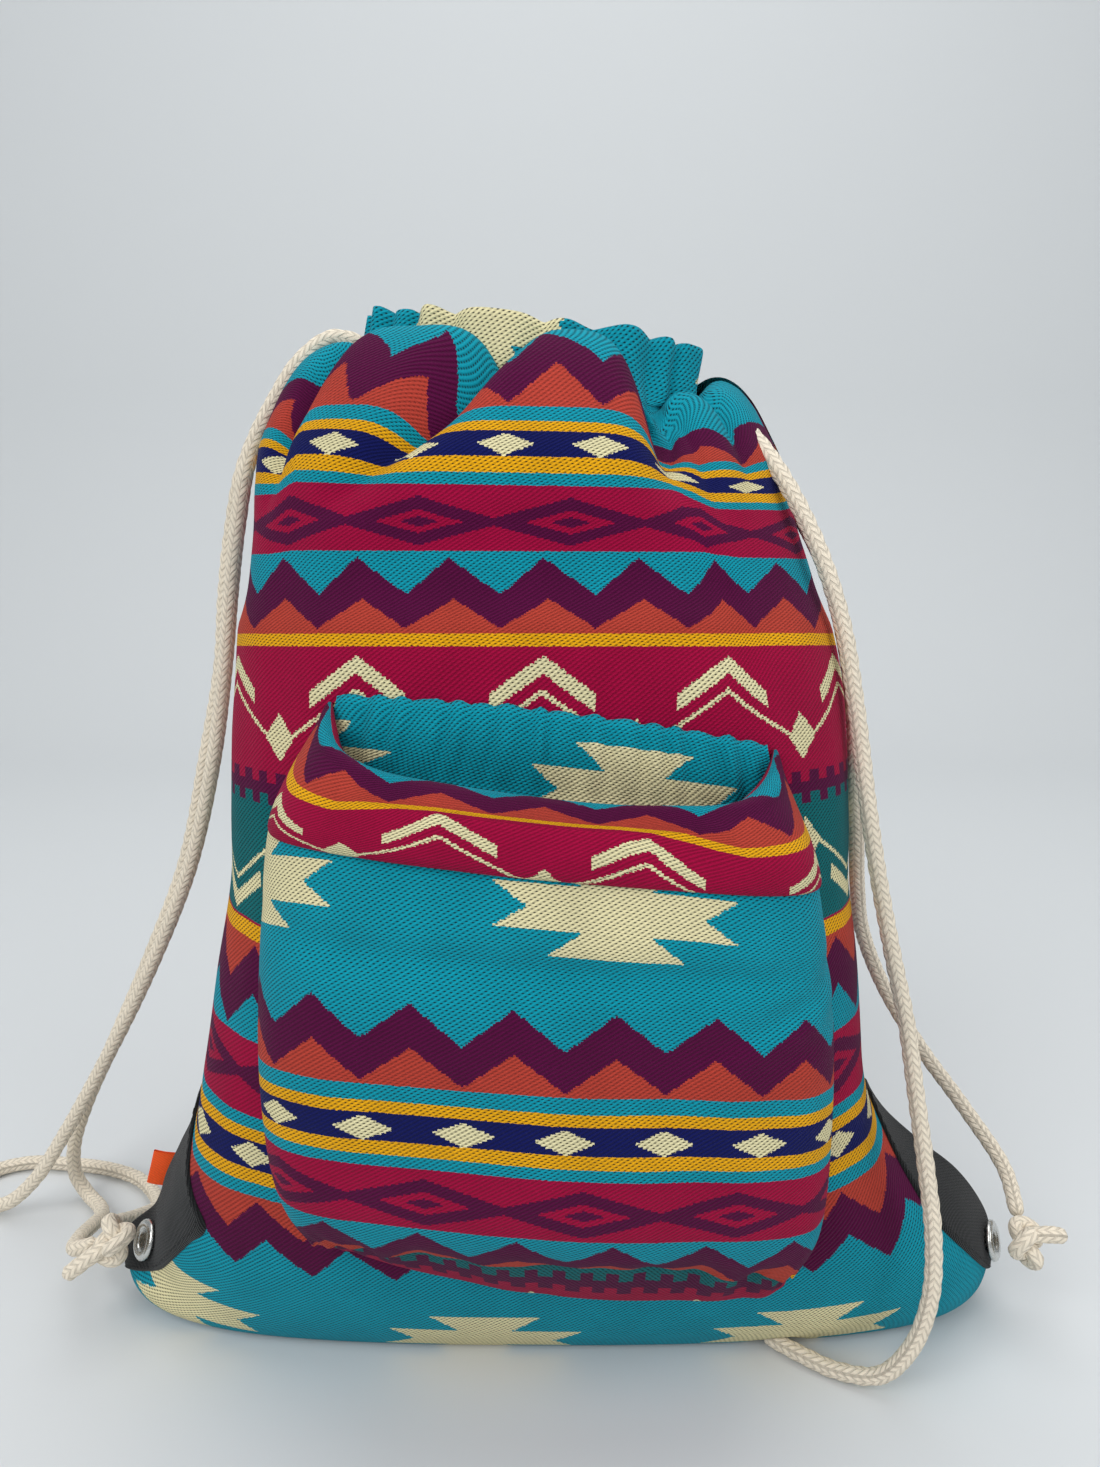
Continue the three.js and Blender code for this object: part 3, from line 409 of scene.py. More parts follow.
# How far each side stands out sideways past its seam's plain line, in millimetres, by share up
LEFT_SWELL = [
    (0, 0), (0.12, 0), (0.26, 2.7), (0.5, 2.7), (0.69, 5), (0.75, 3.5), (0.82, -2), (0.88, -4), (1, -3),
]
RIGHT_SWELL = [(0, 0), (0.12, 0), (0.26, 1.5), (0.5, 2.5), (0.7, 5), (0.8, 4.5), (0.86, 3), (0.92, 3), (1, 4)]
RUFFLE_FADE = [(0, 0), (0.88, 0), (0.91, 0.15), (0.93, 1), (0.97, 0.9), (1, 1)]
RUFFLE_HEIGHT = 4.6
RUFFLES = 10
CASING_LOW = 0.925
NOTCH = 0.2


def along(stations, t):
    """Smooth value at t of a list of (t, value) stations."""
    last = len(stations) - 1
    i = 0
    while i < last - 1 and t > stations[i + 1][0]:
        i += 1
    t0, v0 = stations[i]
    t1, v1 = stations[i + 1]

    def slope(a, b):
        return (stations[b][1] - stations[a][1]) / (stations[b][0] - stations[a][0])

    m0 = slope(max(i - 1, 0), i + 1)
    m1 = slope(i, min(i + 2, last))
    span = t1 - t0
    f = min(max((t - t0) / span, 0), 1)
    g = f * f * (3 - 2 * f)
    return v0 + (v1 - v0) * g + span * (m0 * f * (1 - f) ** 2 - m1 * f * f * (1 - f))


def seam_point(hand, t):
    half = WAIST_WIDTH / 2 + (CORNER_SPAN - WAIST_WIDTH) / 2 * along(FLARE, t)
    half += (MOUTH_WIDTH - WAIST_WIDTH) / 2 * along(TAPER, t)
    rise = STAND_HEIGHT * along(SIDE_RISE, t) - hand * MOUTH_TILT * along(NECK, t)
    return np.array([hand * half + LEAN * along(SIDEWAYS, t), SEAM_SETBACK * along(SETBACK, t), rise])


def middle_point(face, t):
    belly, rises = (FRONT_BELLY, FRONT_RISE) if face == FRONT else (BACK_BELLY, BACK_RISE)
    reach = FRONT_REACH if face == FRONT else BACK_REACH
    neck = along(NECK, t)
    out = reach * along(belly, t) * (1 - neck) + MOUTH_DEPTH / 2 * neck
    left, right = seam_point(-1, t), seam_point(1, t)
    return np.array([(left[0] + right[0]) / 2, left[1] + face * out, STAND_HEIGHT * along(rises, t)])


def inset(path, t, depth, level):
    """The path's point at t, moved inwards by depth at right angles to the path."""
    travel = path(min(t + 0.004, 1)) - path(max(t - 0.004, 0))
    out = level * travel[2] - np.array([0, 0, np.dot(travel, level)])
    return path(t) - depth * out / np.linalg.norm(out)


def puff_share(face, t, s):
    """How much each place across takes part in the puffs, less the valleys between them."""
    puffs, valleys = (FRONT_PUFFS, FRONT_VALLEYS) if face == FRONT else (BACK_PUFFS, BACK_VALLEYS)
    share = np.interp(s, *zip(*puffs))
    for stations, depth, width in valleys:
        spread = width * (1 + 6 * max(0, 0.86 - t))
        away = np.abs(s - along(stations, t)) / spread
        share = share - depth * along(VALLEY_FADE, t) * np.exp(-(away ** 1.5))
    return share


def puff_move(t):
    """How far a full puff stands out and up from the plain wall at a height."""
    if t < PUFF_LINE[0][0]:
        return 0.0, 0.0
    plain = middle_point(FRONT, t)
    fade = along(PUFF_FADE, t)
    out = plain[1] - along(pick(PUFF_LINE, 1), min(t, PUFF_TOP))
    up = along(pick(PUFF_LINE, 2), min(t, PUFF_TOP)) - plain[2]
    if t > PUFF_TOP:
        up = 0
    return fade * out, fade * up


def pick(stations, k):
    """One value of each station, as (share, value) pairs."""
    return [(station[0], station[k]) for station in stations]


def ruffle_lift(s, seed):
    """Small pleats of uneven width and depth across the gathered mouth."""
    wander = np.array([noise.noise((4.1 * x, seed, 0.3)) for x in s])
    depth = np.array([0.75 + 0.5 * noise.noise((7.3 * x, seed, 5.1)) for x in s])
    wave = np.sin(math.pi / 2 * (s + 1) * RUFFLES + 1.5 * wander)
    return depth * np.abs(wave) ** 1.3


# Height on the flat cloth, in millimetres, along the middle line and along the side seams
CLOTH_TOP = [
    (0.767, 338), (0.83, 363), (0.85, 377), (0.87, 396), (0.885, 410), (0.9, 423), (0.91, 430),
    (0.925, 439), (1, 462),
]
CLOTH_MIDDLE = [(0, 8)] + CLOTH_TOP
CLOTH_SIDE = [
    (0, -2), (0.045, 14), (0.108, 48), (0.155, 82), (0.24, 114), (0.31, 145), (0.457, 205),
    (0.684, 302),
] + CLOTH_TOP
# Where the gathers pull the cloth down, and at which heights
PULLED_DOWN = [(-1, 7), (-0.62, 6), (-0.52, 0), (0.36, 0), (0.46, 14), (0.75, 14), (1, 7)]
PULL_FADE = [(0, 0), (0.72, 0), (0.8, 0.45), (0.85, 1), (0.9, 1), (0.925, 0.3), (1, 0)]


def cloth_height(face, t, s):
    side = np.interp(t, *zip(*CLOTH_SIDE))
    middle = np.interp(t, *zip(*CLOTH_MIDDLE))
    height = middle + (side - middle) * np.abs(s) ** 2.2
    if face == FRONT:
        height = height + np.interp(s, *zip(*PULLED_DOWN)) * along(PULL_FADE, t)
    return height


def wall_row(face, t, depth, s, waves=1.0):
    """Points of one row of a bag wall, in millimetres of the drawing."""
    sideways = np.array([1.0, 0, 0])
    left = inset(lambda u: seam_point(-1, u), t, depth, -sideways) - along(LEFT_SWELL, t) * sideways
    right = inset(lambda u: seam_point(1, u), t, depth, sideways) + along(RIGHT_SWELL, t) * sideways
    middle = inset(lambda u: middle_point(face, u), t, depth, np.array([0, face, 0.0]))
    angle = s * math.pi / 2
    boxy = along(BOXINESS, t)
    across = np.sin(angle) * (1 + boxy * np.cos(angle) ** 2)
    outward = np.cos(angle) * (1 + boxy * np.sin(angle) ** 2)
    bulge = middle - (left + right) / 2
    points = left + (right - left) * ((across + 1) / 2)[:, None] + bulge * outward[:, None]
    half = (right[0] - left[0]) / 2
    reach = np.linalg.norm(bulge) + 1e-6
    normal = np.sin(angle)[:, None] * np.array([reach, 0, 0])
    normal = normal + (np.cos(angle) * half / reach)[:, None] * bulge
    normal /= np.linalg.norm(normal, axis=1)[:, None]
    small = RUFFLE_HEIGHT * ruffle_lift(s, face) * along(RUFFLE_FADE, t) * waves
    crease = np.zeros_like(s)
    if depth < 3 and waves:
        crease = wall_creases(face, t, s)
    points = points + normal * (small + crease)[:, None]
    out, up = puff_move(t)
    share = waves * puff_share(face, t, s)
    points[:, :2] += normal[:, :2] * (out * share)[:, None]
    points[:, 2] += up * np.maximum(share, -0.1)
    if t > 0.95:
        points[:, 2] += small * (t - 0.95) * 10
    points[:, 2] = np.maximum(points[:, 2], max(depth, 0) + 0.02)
    points[:, 1] += face * 0.2
    if face == FRONT and t < 0.16:
        points = clear_of_cord(points, depth)
    return points


# The drawcord's last stretch, where it slips in under the front's lower lip, in millimetres of the drawing
CORD_ON_TABLE = np.array([(124, -53.5), (110, -46.6), (98, -38.6), (86, -28.6)])


def clear_of_cord(points, depth):
    """Lifts the cloth's lip where it lies over the cord on the table."""
    nearest = np.full(len(points), 1e3)
    for a, b in zip(CORD_ON_TABLE, CORD_ON_TABLE[1:]):
        f = np.clip(((points[:, :2] - a) @ (b - a)) / np.dot(b - a, b - a), 0, 1)
        away = np.linalg.norm(points[:, :2] - a - f[:, None] * (b - a), axis=1)
        nearest = np.minimum(nearest, away)
    hump = 7.4 * np.clip(1.25 - nearest / 9, 0, 1) ** 0.6
    points = points.copy()
    points[:, 2] = np.maximum(points[:, 2], hump + max(depth, 0))
    return points


def wall_creases(face, t, s):
    """Slack and small wrinkles of the stuffed cloth, in millimetres out of the wall."""
    free = np.clip((t - 0.05) / 0.1, 0, 1)
    soft = np.array([noise.noise((2.6 * x, 5.5 * t, 3.7 * face)) for x in s])
    fine = np.array([noise.noise((9.0 * x, 6.0 * t, 1.9 * face)) for x in s])
    pulled = np.array([noise.noise((5.0 * x + 2.5 * t, 16.0 * t - 3.0 * abs(x), 8.3 * face)) for x in s])
    edge = 1 - np.abs(s) ** 6
    return free * edge * (1.8 * soft + 0.7 * fine * (0.4 + t) + 0.7 * pulled)


def sheet_uvs(points, s, heights):
    """Flat place of each point of the rows: distance along its row from the middle, and height."""
    steps = np.linalg.norm(np.diff(points, axis=1), axis=2)
    reach = np.concatenate([np.zeros((len(points), 1)), np.cumsum(steps, axis=1)], axis=1)
    centre = np.array([np.interp(0, s, row) for row in reach])
    return np.stack([reach - centre[:, None], heights], axis=2) / 100


# How far the front cloth's pattern has slipped sideways, in millimetres, by height
PATTERN_DRIFT = [
    (0, 7), (0.1, 6), (0.2, 0), (0.5, 0), (0.6, 3.5), (0.66, 2.5), (0.72, -2), (0.767, -2.5),
    (0.83, -7), (0.85, -10.5), (0.885, -12), (1, -12),
]
TUCKED_CLOTH = 9  # taken up by the deepest valley


def pattern_drift(t, s):
    tucked = np.clip((s - 0.32) / 0.14, 0, 1)
    height = np.interp(t, [0.62, 0.68, 0.8, 0.84], [0, 1, 1, 0])
    return along(PATTERN_DRIFT, t) + TUCKED_CLOTH * height * tucked * tucked * (3 - 2 * tucked)


WALL_COLUMNS = 230
WALL_ROWS = 170
# The hem's cloth turned down inside: (share up, depth inwards, rise) of each row, in millimetres
HEM_TURN = [
    (1.0, 1.2, 0.9), (0.999, 2.6, 1.9), (0.994, 5.5, 2.0), (0.985, 8.5, 1.6), (0.97, 10.2, 1.0),
    (0.95, 10.4, 0.6), (0.935, 9.0, 0.3), (0.925, 4.5, 0.0), (0.915, 2.6, 0.0),
]


def make_wall(face, name):
    """One wall of the bag, with its hem turned over inside it as a tunnel for the cords."""
    s = np.linspace(-1, 1, WALL_COLUMNS)
    shares = np.concatenate([
        np.linspace(0, 0.12, 26)[:-1], np.linspace(0.12, 0.8, WALL_ROWS - 70)[:-1],
        np.linspace(0.8, 0.94, 62)[:-1], np.linspace(0.94, 1, 12),
    ])
    rows = []
    heights = []
    for t in shares:
        opened = min(max((t - 0.9) / (CASING_LOW - 0.9), 0), 1)
        opened = opened * opened * (3 - 2 * opened)
        narrowed = s * (1 - NOTCH * opened)
        points = wall_row(face, t, 0, narrowed)
        if t > CASING_LOW - 0.02:
            stitched = math.exp(-(((t - CASING_LOW - 0.004) / 0.006) ** 2))
            centre = points.mean(axis=0)
            points[:, :2] += (centre - points)[:, :2] * 0.035 * stitched
        rows.append(points)
        heights.append(cloth_height(face, t, s))
    narrowed = s * (1 - NOTCH)
    for t, depth, rise in HEM_TURN:
        points = wall_row(face, t, depth, narrowed, waves=1.0)
        points[:, 2] += rise * 0.5
        rows.append(points)
        heights.append(np.full_like(s, 464 + (1 - t) * 400))
    points = np.array(rows)
    uvs = sheet_uvs(points, s, np.array(heights))
    if face == FRONT:
        levels = np.concatenate([shares, [t for t, _, _ in HEM_TURN]])
        uvs[:, :, 0] += np.array([pattern_drift(t, s) for t in levels]) / 100
    flat = [in_frame(p) for p in points.reshape(-1, 3)]
    faces = grid_faces(len(rows), len(s))
    if face == BACK:
        faces = [tuple(reversed(f)) for f in faces]
    return new_piece(name, flat, faces, "patterned_cloth", uvs.reshape(-1, 2))


front_wall = make_wall(FRONT, "front_cloth")
back_wall = make_wall(BACK, "back_cloth")


# The shape of the pocket, as in the solids: side edges as (row, share of the half width, share of the height)
POCKET_CENTRE = 0.5
POCKET_HALF_WIDTH = 98
POCKET_REACH = 70
POCKET_SEAM_Y = -31
POCKET_BOXINESS = 0.3
POCKET_LEFT = [
    (0, 0.86, 0.17), (0.15, 0.95, 0.227), (0.35, 0.99, 0.309), (0.6, 1, 0.425), (0.8, 0.98, 0.528),
    (0.9, 0.93, 0.592), (1, 0.745, 0.676),
]
POCKET_RIGHT = [
    (0, 0.91, 0.129), (0.15, 0.985, 0.186), (0.35, 1, 0.27), (0.6, 0.985, 0.387), (0.8, 0.93, 0.477),
    (0.9, 0.875, 0.553), (1, 0.78, 0.632),
]
POCKET_OUT = [
    (0, 0.72, 0.204), (0.12, 0.89, 0.237), (0.25, 0.98, 0.291), (0.45, 1, 0.387), (0.65, 0.94, 0.482),
    (0.82, 0.85, 0.562), (1, 0.79, 0.612),
]
LINING_LEFT = [(0, 0.8, 0.215), (0.3, 0.88, 0.32), (0.7, 0.87, 0.54), (1, 0.745, 0.681)]
LINING_RIGHT = [(0, 0.84, 0.185), (0.3, 0.88, 0.3), (0.7, 0.86, 0.5), (1, 0.775, 0.637)]
LINING_SAG = [(0, -0.05), (0.3, -0.03), (0.7, 0.0), (1, 0.012)]
UNDER_DROP = [(-1, 0.012), (-0.6, 0.05), (0, 0.1), (0.6, 0.075), (1, 0.014)]
POCKET_COLUMNS = 150
RIM_TOP = 10

# Rows of the rolled rim: (row of the pocket, depth inwards in millimetres)
ROLL = [
    (0.845, -1.6), (0.849, -3.2), (0.866, -4.9), (0.89, -5.8), (0.915, -6.2), (0.94, -6.1), (0.965, -5.5),
    (0.985, -4.6), (1.0, -3.4), (1.012, -1.9), (1.019, 0.0), (1.02, 2.2), (1.015, 4.6), (1.004, 7.0),
    (0.988, 9.2), (0.97, 11.0), (0.95, 12.4), (0.93, 13.2),
]


WALL_TREE = BVHTree.FromPolygons(
    [v.co for v in front_wall.data.vertices], [tuple(p.vertices) for p in front_wall.data.polygons]
)


def front_y(x, z):
    """How far back the front cloth is at a place seen from the front, in millimetres of the drawing."""
    hit = WALL_TREE.ray_cast(in_frame((x, -400, z)), Vector((0, 1, 0)))[0]
    return hit.y / MM - DRAWING_ORIGIN.y


def pocket_side(hand, b, depth):
    stations = POCKET_LEFT if hand < 0 else POCKET_RIGHT
    x = POCKET_CENTRE + hand * (POCKET_HALF_WIDTH * along(pick(stations, 1), b) - max(depth, -1.5))
    z = STAND_HEIGHT * along(pick(stations, 2), b)
    return np.array([x, front_y(x, z) - 0.5, z])


def pocket_middle(b):
    y = POCKET_SEAM_Y - POCKET_REACH * along(pick(POCKET_OUT, 1), b)
    return np.array([POCKET_CENTRE, y, STAND_HEIGHT * along(pick(POCKET_OUT, 2), b)])


def pocket_creases(b, a):
    """Slack of the pocket cloth: a sagging fold, pull lines from the right end of the rim, small wrinkles."""
    soft = np.array([noise.noise((2.2 * x, 3.4 * b, 11.3)) for x in a])
    fine = np.array([noise.noise((7.0 * x, 6.5 * b + 1.5 * x, 4.7)) for x in a])
    sag = np.exp(-(((b - 0.66 - 0.10 * a * a) / 0.030) ** 2)) * (1 - 0.7 * np.abs(a))
    pull = np.exp(-(((b - 0.80 + 0.34 * (1 - a)) / 0.028) ** 2)) * np.clip((a - 0.1) / 0.6, 0, 1)
    second = np.exp(-(((b - 0.70 + 0.30 * (1 - a)) / 0.024) ** 2)) * np.clip((a - 0.3) / 0.5, 0, 1)
    gathered = max(0, 1 - b / 0.14) * np.array([noise.noise((13.0 * x, 5.0 * b, 2.2)) for x in a])
    free = (1 - np.abs(a) ** 8)
    return free * (2.6 * soft + 0.9 * fine - 3.4 * sag - 2.8 * pull - 2.2 * second + 3.2 * gathered)


def pocket_row(b, depth, a, slack=1.0):
    """Points of one row of the pocket, in millimetres of the drawing."""
    row = min(max(b, 0), 1)
    left, right = pocket_side(-1, row, depth), pocket_side(1, row, depth)
    middle = inset(pocket_middle, row, depth, np.array([0, -1.0, 0]))
    angle = a * math.pi / 2
    across = np.sin(angle) * (1 + POCKET_BOXINESS * np.cos(angle) ** 2)
    outward = np.cos(angle) * (1 + POCKET_BOXINESS * np.sin(angle) ** 2)
    bulge = middle - (left + right) / 2
    points = left + (right - left) * ((across + 1) / 2)[:, None] + bulge * outward[:, None]
    seam = max(0, 1 - row / 0.12)
    points[:, 1] -= 2.4 * seam * ruffle_lift(a * 0.9, 7)
    points[:, 1] -= slack * pocket_creases(row, a)
    points[:, 2] += (b - row) * STAND_HEIGHT / 2
    points[:, 2] -= 1.3 * seam * ruffle_lift(a * 0.8, 12)
    return points


def pattern_uvs(points, s, offset, heights):
    """Flat places of a piece's rows in the pattern, moved sideways by an offset in millimetres."""
    uvs = sheet_uvs(points, s, heights)
    uvs[:, :, 0] += offset / 100
    return uvs.reshape(-1, 2)


def climb(points, column):
    """Length walked up one column from the first row to each row."""
    steps = np.linalg.norm(np.diff(points[:, column], axis=0), axis=1)
    return np.concatenate([[0], np.cumsum(steps)])


def cloth_grid(name, rows, uvs, slot="patterned_cloth", turned=False):
    points = [in_frame(p) for p in np.array(rows).reshape(-1, 3)]
    faces = grid_faces(len(rows), len(rows[0]))
    if turned:
        faces = [tuple(reversed(face)) for face in faces]
    return new_piece(name, points, faces, slot, uvs)


def make_pocket_cloth():
    """The pouch's front, from its gathered seam below to the rolled rim."""
    a = np.linspace(-1, 1, POCKET_COLUMNS)
    shares = np.concatenate([np.linspace(0, 0.1, 16)[:-1], np.linspace(0.1, 0.95, 84)])
    rows = [pocket_row(b, 0, a) for b in shares]
    for back, up in ((1.6, -0.9), (3.4, 0.2), (4.4, 2.4)):
        rows.insert(0, rows[-len(shares)] + np.array([0, back, up]))
    rows = np.array(rows)
    walked = climb(rows, POCKET_COLUMNS // 2)
    walked -= walked[3]
    heights = 313 + walked * (161.5 / np.interp(0.85, shares, walked[3:]))
    dipped = np.interp(a, [-1, -0.5, 0, 0.5, 1], [9, 4, 1.5, 4, 14])
    fade = np.interp(np.concatenate([[0, 0, 0], shares]), [0, 0.5, 0.85], [1, 0.8, 0])
    heights = heights[:, None] - fade[:, None] * dipped
    return cloth_grid("pocket_cloth", rows, pattern_uvs(rows, a, -47, heights))


def sagging_row(b, depth, a):
    """One row of the rim, whose lower edge hangs lower in the middle and higher at its ends."""
    share = min(max((1 - b) / 0.155, 0), 1)
    hanging = pocket_row(b - 0.03 * share, depth, a, slack=0.6)
    held = pocket_row(b + 0.045 * share, depth, a, slack=0.6)
    return hanging + (held - hanging) * (a * a)[:, None]


def make_rim():
    """The rim, turned over and rolled inwards, looser in the middle than at its ends."""
    a = np.linspace(-1, 1, POCKET_COLUMNS)
    swell = np.array([0.85 + 0.5 * noise.noise((2.4 * x, 0.2, 8.8)) for x in a])
    rows = []
    for b, depth in ROLL:
        points = sagging_row(b, 0, a)
        out = sagging_row(b, depth, a) - points
        points = points + out * (swell * (1 - 0.8 * np.abs(a) ** 7))[:, None]
        points[:, 2] -= max(b - 1, 0) * STAND_HEIGHT / 2 * np.abs(a) ** 7
        points[:, 2] += (b > 0.9) * 1.2 * np.array([noise.noise((3.1 * x, 0.4, 2.1)) for x in a])
        rows.append(points)
    rows = np.array(rows)
    walked = climb(rows, POCKET_COLUMNS // 2)
    share = walked / walked[RIM_TOP]
    low = np.interp(a, [-1, -0.6, -0.35, 0, 0.3, 1], [276, 272, 268, 274, 281, 279])
    even = low + (330 - low) * share[:, None]
    rolled = low + (299 - low) * np.minimum(share / 0.7, 1)[:, None]
    rolled += np.interp(share, [0.7, 0.74, 1, 3], [0, 9, 31, 120])[:, None]
    slumped = np.clip(1.7 - np.abs(a + 0.04) / 0.24, 0, 1)
    heights = even + (rolled - even) * slumped
    return cloth_grid("rolled_rim", rows, pattern_uvs(rows, a, -25.3, heights))


def make_lining():
    """The inner wall of the pocket, lying on the bag, puckered along its top seam."""
    a = np.linspace(-1, 1, POCKET_COLUMNS)
    rows = []
    for b in np.linspace(0, 1.0, 70):
        def edge(hand, stations):
            return POCKET_CENTRE + hand * (POCKET_HALF_WIDTH * along(pick(stations, 1), b) - 3)

        f = (a + 1) / 2
        x = edge(-1, LINING_LEFT) * (1 - f) + edge(1, LINING_RIGHT) * f
        share = along(pick(LINING_LEFT, 2), b) * (1 - f) + along(pick(LINING_RIGHT, 2), b) * f
        seam = min(max((b - 0.86) / 0.14, 0), 1)
        wave = ruffle_lift(a * 1.6, 21)
        z = STAND_HEIGHT * (share + along(LINING_SAG, b) * (1 - a * a)) + 1.6 * seam * wave
        lift = 1.0 + 2.6 * math.sin(math.pi * seam) * (0.4 + wave) + 0.8 * math.sin(math.pi * min(b, 0.8))
        y = np.array([front_y(px, pz) for px, pz in zip(x, z)]) - lift
        rows.append(np.column_stack([x, y, z]))
    for drop in (0.5, 1.4):
        tucked = rows[-1].copy()
        tucked[:, 2] -= drop
        tucked[:, 1] += 0.5
        rows.append(tucked)
    rows = np.array(rows)
    walked = climb(rows, POCKET_COLUMNS // 2)
    heights = 486 - (walked[-3] - walked)
    heights = np.repeat(heights[:, None], len(a), axis=1)
    return cloth_grid("pocket_lining", rows, pattern_uvs(rows, a, -56, heights))


def make_underside():
    """The strip that closes the pocket below, from the gathered seam back to the bag."""
    a = np.linspace(-1, 1, POCKET_COLUMNS)
    seam = pocket_row(0, 0, a) + np.array([0, 2.6, 1.2])
    x = seam[:, 0] * 0.985
    drop = STAND_HEIGHT * np.array([along(UNDER_DROP, v) for v in a])
    rear_z = seam[:, 2] - 0.4 - drop
    rear = np.column_stack([x, [front_y(px, pz) - 0.4 for px, pz in zip(x, rear_z)], rear_z])
    rows = []
    for c in np.linspace(0, 1, 26):
        points = seam * (1 - c) + rear * c
        sag = math.sin(math.pi * c) * 2.0
        points[:, 2] -= sag * np.cos(a * math.pi / 2)
        rows.append(points)
    rows = np.array(rows)
    walked = climb(rows, POCKET_COLUMNS // 2)
    heights = 243 + walked * (23 / walked[-1])
    heights = np.repeat(heights[:, None], len(a), axis=1)
    return cloth_grid("pocket_underside", rows, pattern_uvs(rows, a, -20, heights), turned=True)


pocket_cloth = make_pocket_cloth()
rolled_rim = make_rim()
pocket_lining = make_lining()
pocket_underside = make_underside()
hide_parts("pocket_front")
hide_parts("pocket_cuff")
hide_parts("pocket_wall")
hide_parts("pocket_base")


# Black canvas corners: how far each reaches onto the front and the back, row by row
CORNER_FRONT = {
    "left": [
        (0.04, 0.08), (0.08, 0.22), (0.13, 0.32), (0.17, 0.38), (0.2, 0.42), (0.225, 0.27),
        (0.265, 0.05),
    ],
    "right": [(0.04, 0.08), (0.08, 0.21), (0.13, 0.28), (0.17, 0.28), (0.22, 0.19), (0.265, 0.05)],
}
CORNER_BACK = [(0.04, 0.1), (0.09, 0.22), (0.15, 0.3), (0.21, 0.25), (0.265, 0.06)]
CORNER_SEATS = {
    "left": ((-0.1693, -0.0114, 0.0343), (-0.7207, -0.5475, 0.4252)),
    "right": ((0.1774, -0.0111, 0.0337), (0.8313, -0.4771, 0.2850)),
}
EYELET_BORE = 4 * MM
EYELET_RADIUS = 7.9 * MM
PUNCH_RADIUS = 4.9 * MM


def make_corner(side, hand):
    """A canvas patch folded round a lower side edge, its own edges turned under."""
    c = np.concatenate([[-1.0, -0.985], np.linspace(-0.96, 0.96, 56), [0.985, 1.0]])
    tucked = np.minimum(1, (1 - np.abs(c)) / 0.03)
    rows = []
    shares = np.concatenate([[0.0415, 0.0425], np.linspace(0.045, 0.262, 62), [0.2645, 0.2655]])
    for i, t in enumerate(shares):
        at_end = min(1, min(i, len(shares) - 1 - i) / 2)
        points = np.zeros((len(c), 3))
        for face, side_of in ((FRONT, c < 0), (BACK, c >= 0)):
            reach = along(CORNER_FRONT[side] if face == FRONT else CORNER_BACK, t)
            s = hand * (1 - np.abs(c[side_of]) * reach)
            raised = wall_row(face, t, -1.5, s)
            flush = wall_row(face, t, -0.3, s)
            lift = (tucked[side_of] * at_end)[:, None]
            points[side_of] = flush + (raised - flush) * lift
        rows.append(points)
    rows = np.array(rows)
    heights = np.repeat(climb(rows, len(c) // 2)[:, None], len(c), axis=1)
    uvs = sheet_uvs(rows, c, heights).reshape(-1, 2)
    piece = cloth_grid(f"canvas_corner_{side}", rows, uvs, "black_canvas", turned=hand > 0)
    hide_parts(f"corner_patch_{side}")
    return piece, rows


def punch(piece, centre, facing, radius):
    """Cuts the round hole of an eyelet through a cloth."""
    centre, facing = Vector(centre), Vector(facing).normalized()
    cloth = bmesh.new()
    cloth.from_mesh(piece.data)
    cut = []
    for face in cloth.faces:
        away = face.calc_center_median() - centre
        depth = away.dot(facing)
        if abs(depth) < 9 * MM and (away - facing * depth).length < radius:
            cut.append(face)
    bmesh.ops.delete(cloth, geom=cut, context="FACES")
    cloth.to_mesh(piece.data)
    cloth.free()


def turned_ring(name, profile, centre, facing, slot, sides=56):
    """A ring turned from a closed profile of (radius, height) points, set on its seat."""
    facing = Vector(facing).normalized()
    across = facing.cross(Vector((0, 0, 1))).normalized()
    rise = across.cross(facing)
    points = []
    for radius, height in profile:
        for k in range(sides):
            turn = 2 * math.pi * k / sides
            level = math.cos(turn) * across + math.sin(turn) * rise
            points.append(Vector(centre) + radius * level + height * facing)
    faces = grid_faces(len(profile), sides, wrap=True)
    last = (len(profile) - 1) * sides
    faces += [(last + k, last + (k + 1) % sides, (k + 1) % sides, k) for k in range(sides)]
    return new_piece(name, points, faces, slot, [(p.x * 10, p.z * 10) for p in points])


def make_eyelet(side):
    """A pressed eyelet: a rolled flange outside, its barrel, and the curled washer behind."""
    centre, facing = CORNER_SEATS[side]
    profile = [(EYELET_BORE - 0.1 * MM, -7.2 * MM), (EYELET_BORE - 0.1 * MM, -1.2 * MM)]
    for k in range(9):
        turn = math.pi * k / 8
        middle = (EYELET_BORE + EYELET_RADIUS) / 2
        half = (EYELET_RADIUS - EYELET_BORE) / 2
        profile.append((middle - half * math.cos(turn), -1.5 * MM + 1.9 * MM * math.sin(turn) ** 0.7))
    profile += [(EYELET_RADIUS - 0.5 * MM, -2.0 * MM), (EYELET_BORE + 0.6 * MM, -2.2 * MM)]
    profile += [(EYELET_BORE + 0.6 * MM, -6.2 * MM), (EYELET_RADIUS - 0.6 * MM, -6.4 * MM)]
    profile += [(EYELET_RADIUS - 0.9 * MM, -7.0 * MM), (EYELET_BORE + 0.9 * MM, -7.6 * MM)]
    ring = turned_ring(f"pressed_eyelet_{side}", profile, centre, facing, "eyelet_metal")
    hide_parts(f"eyelet_{side}", f"eyelet_washer_{side}")


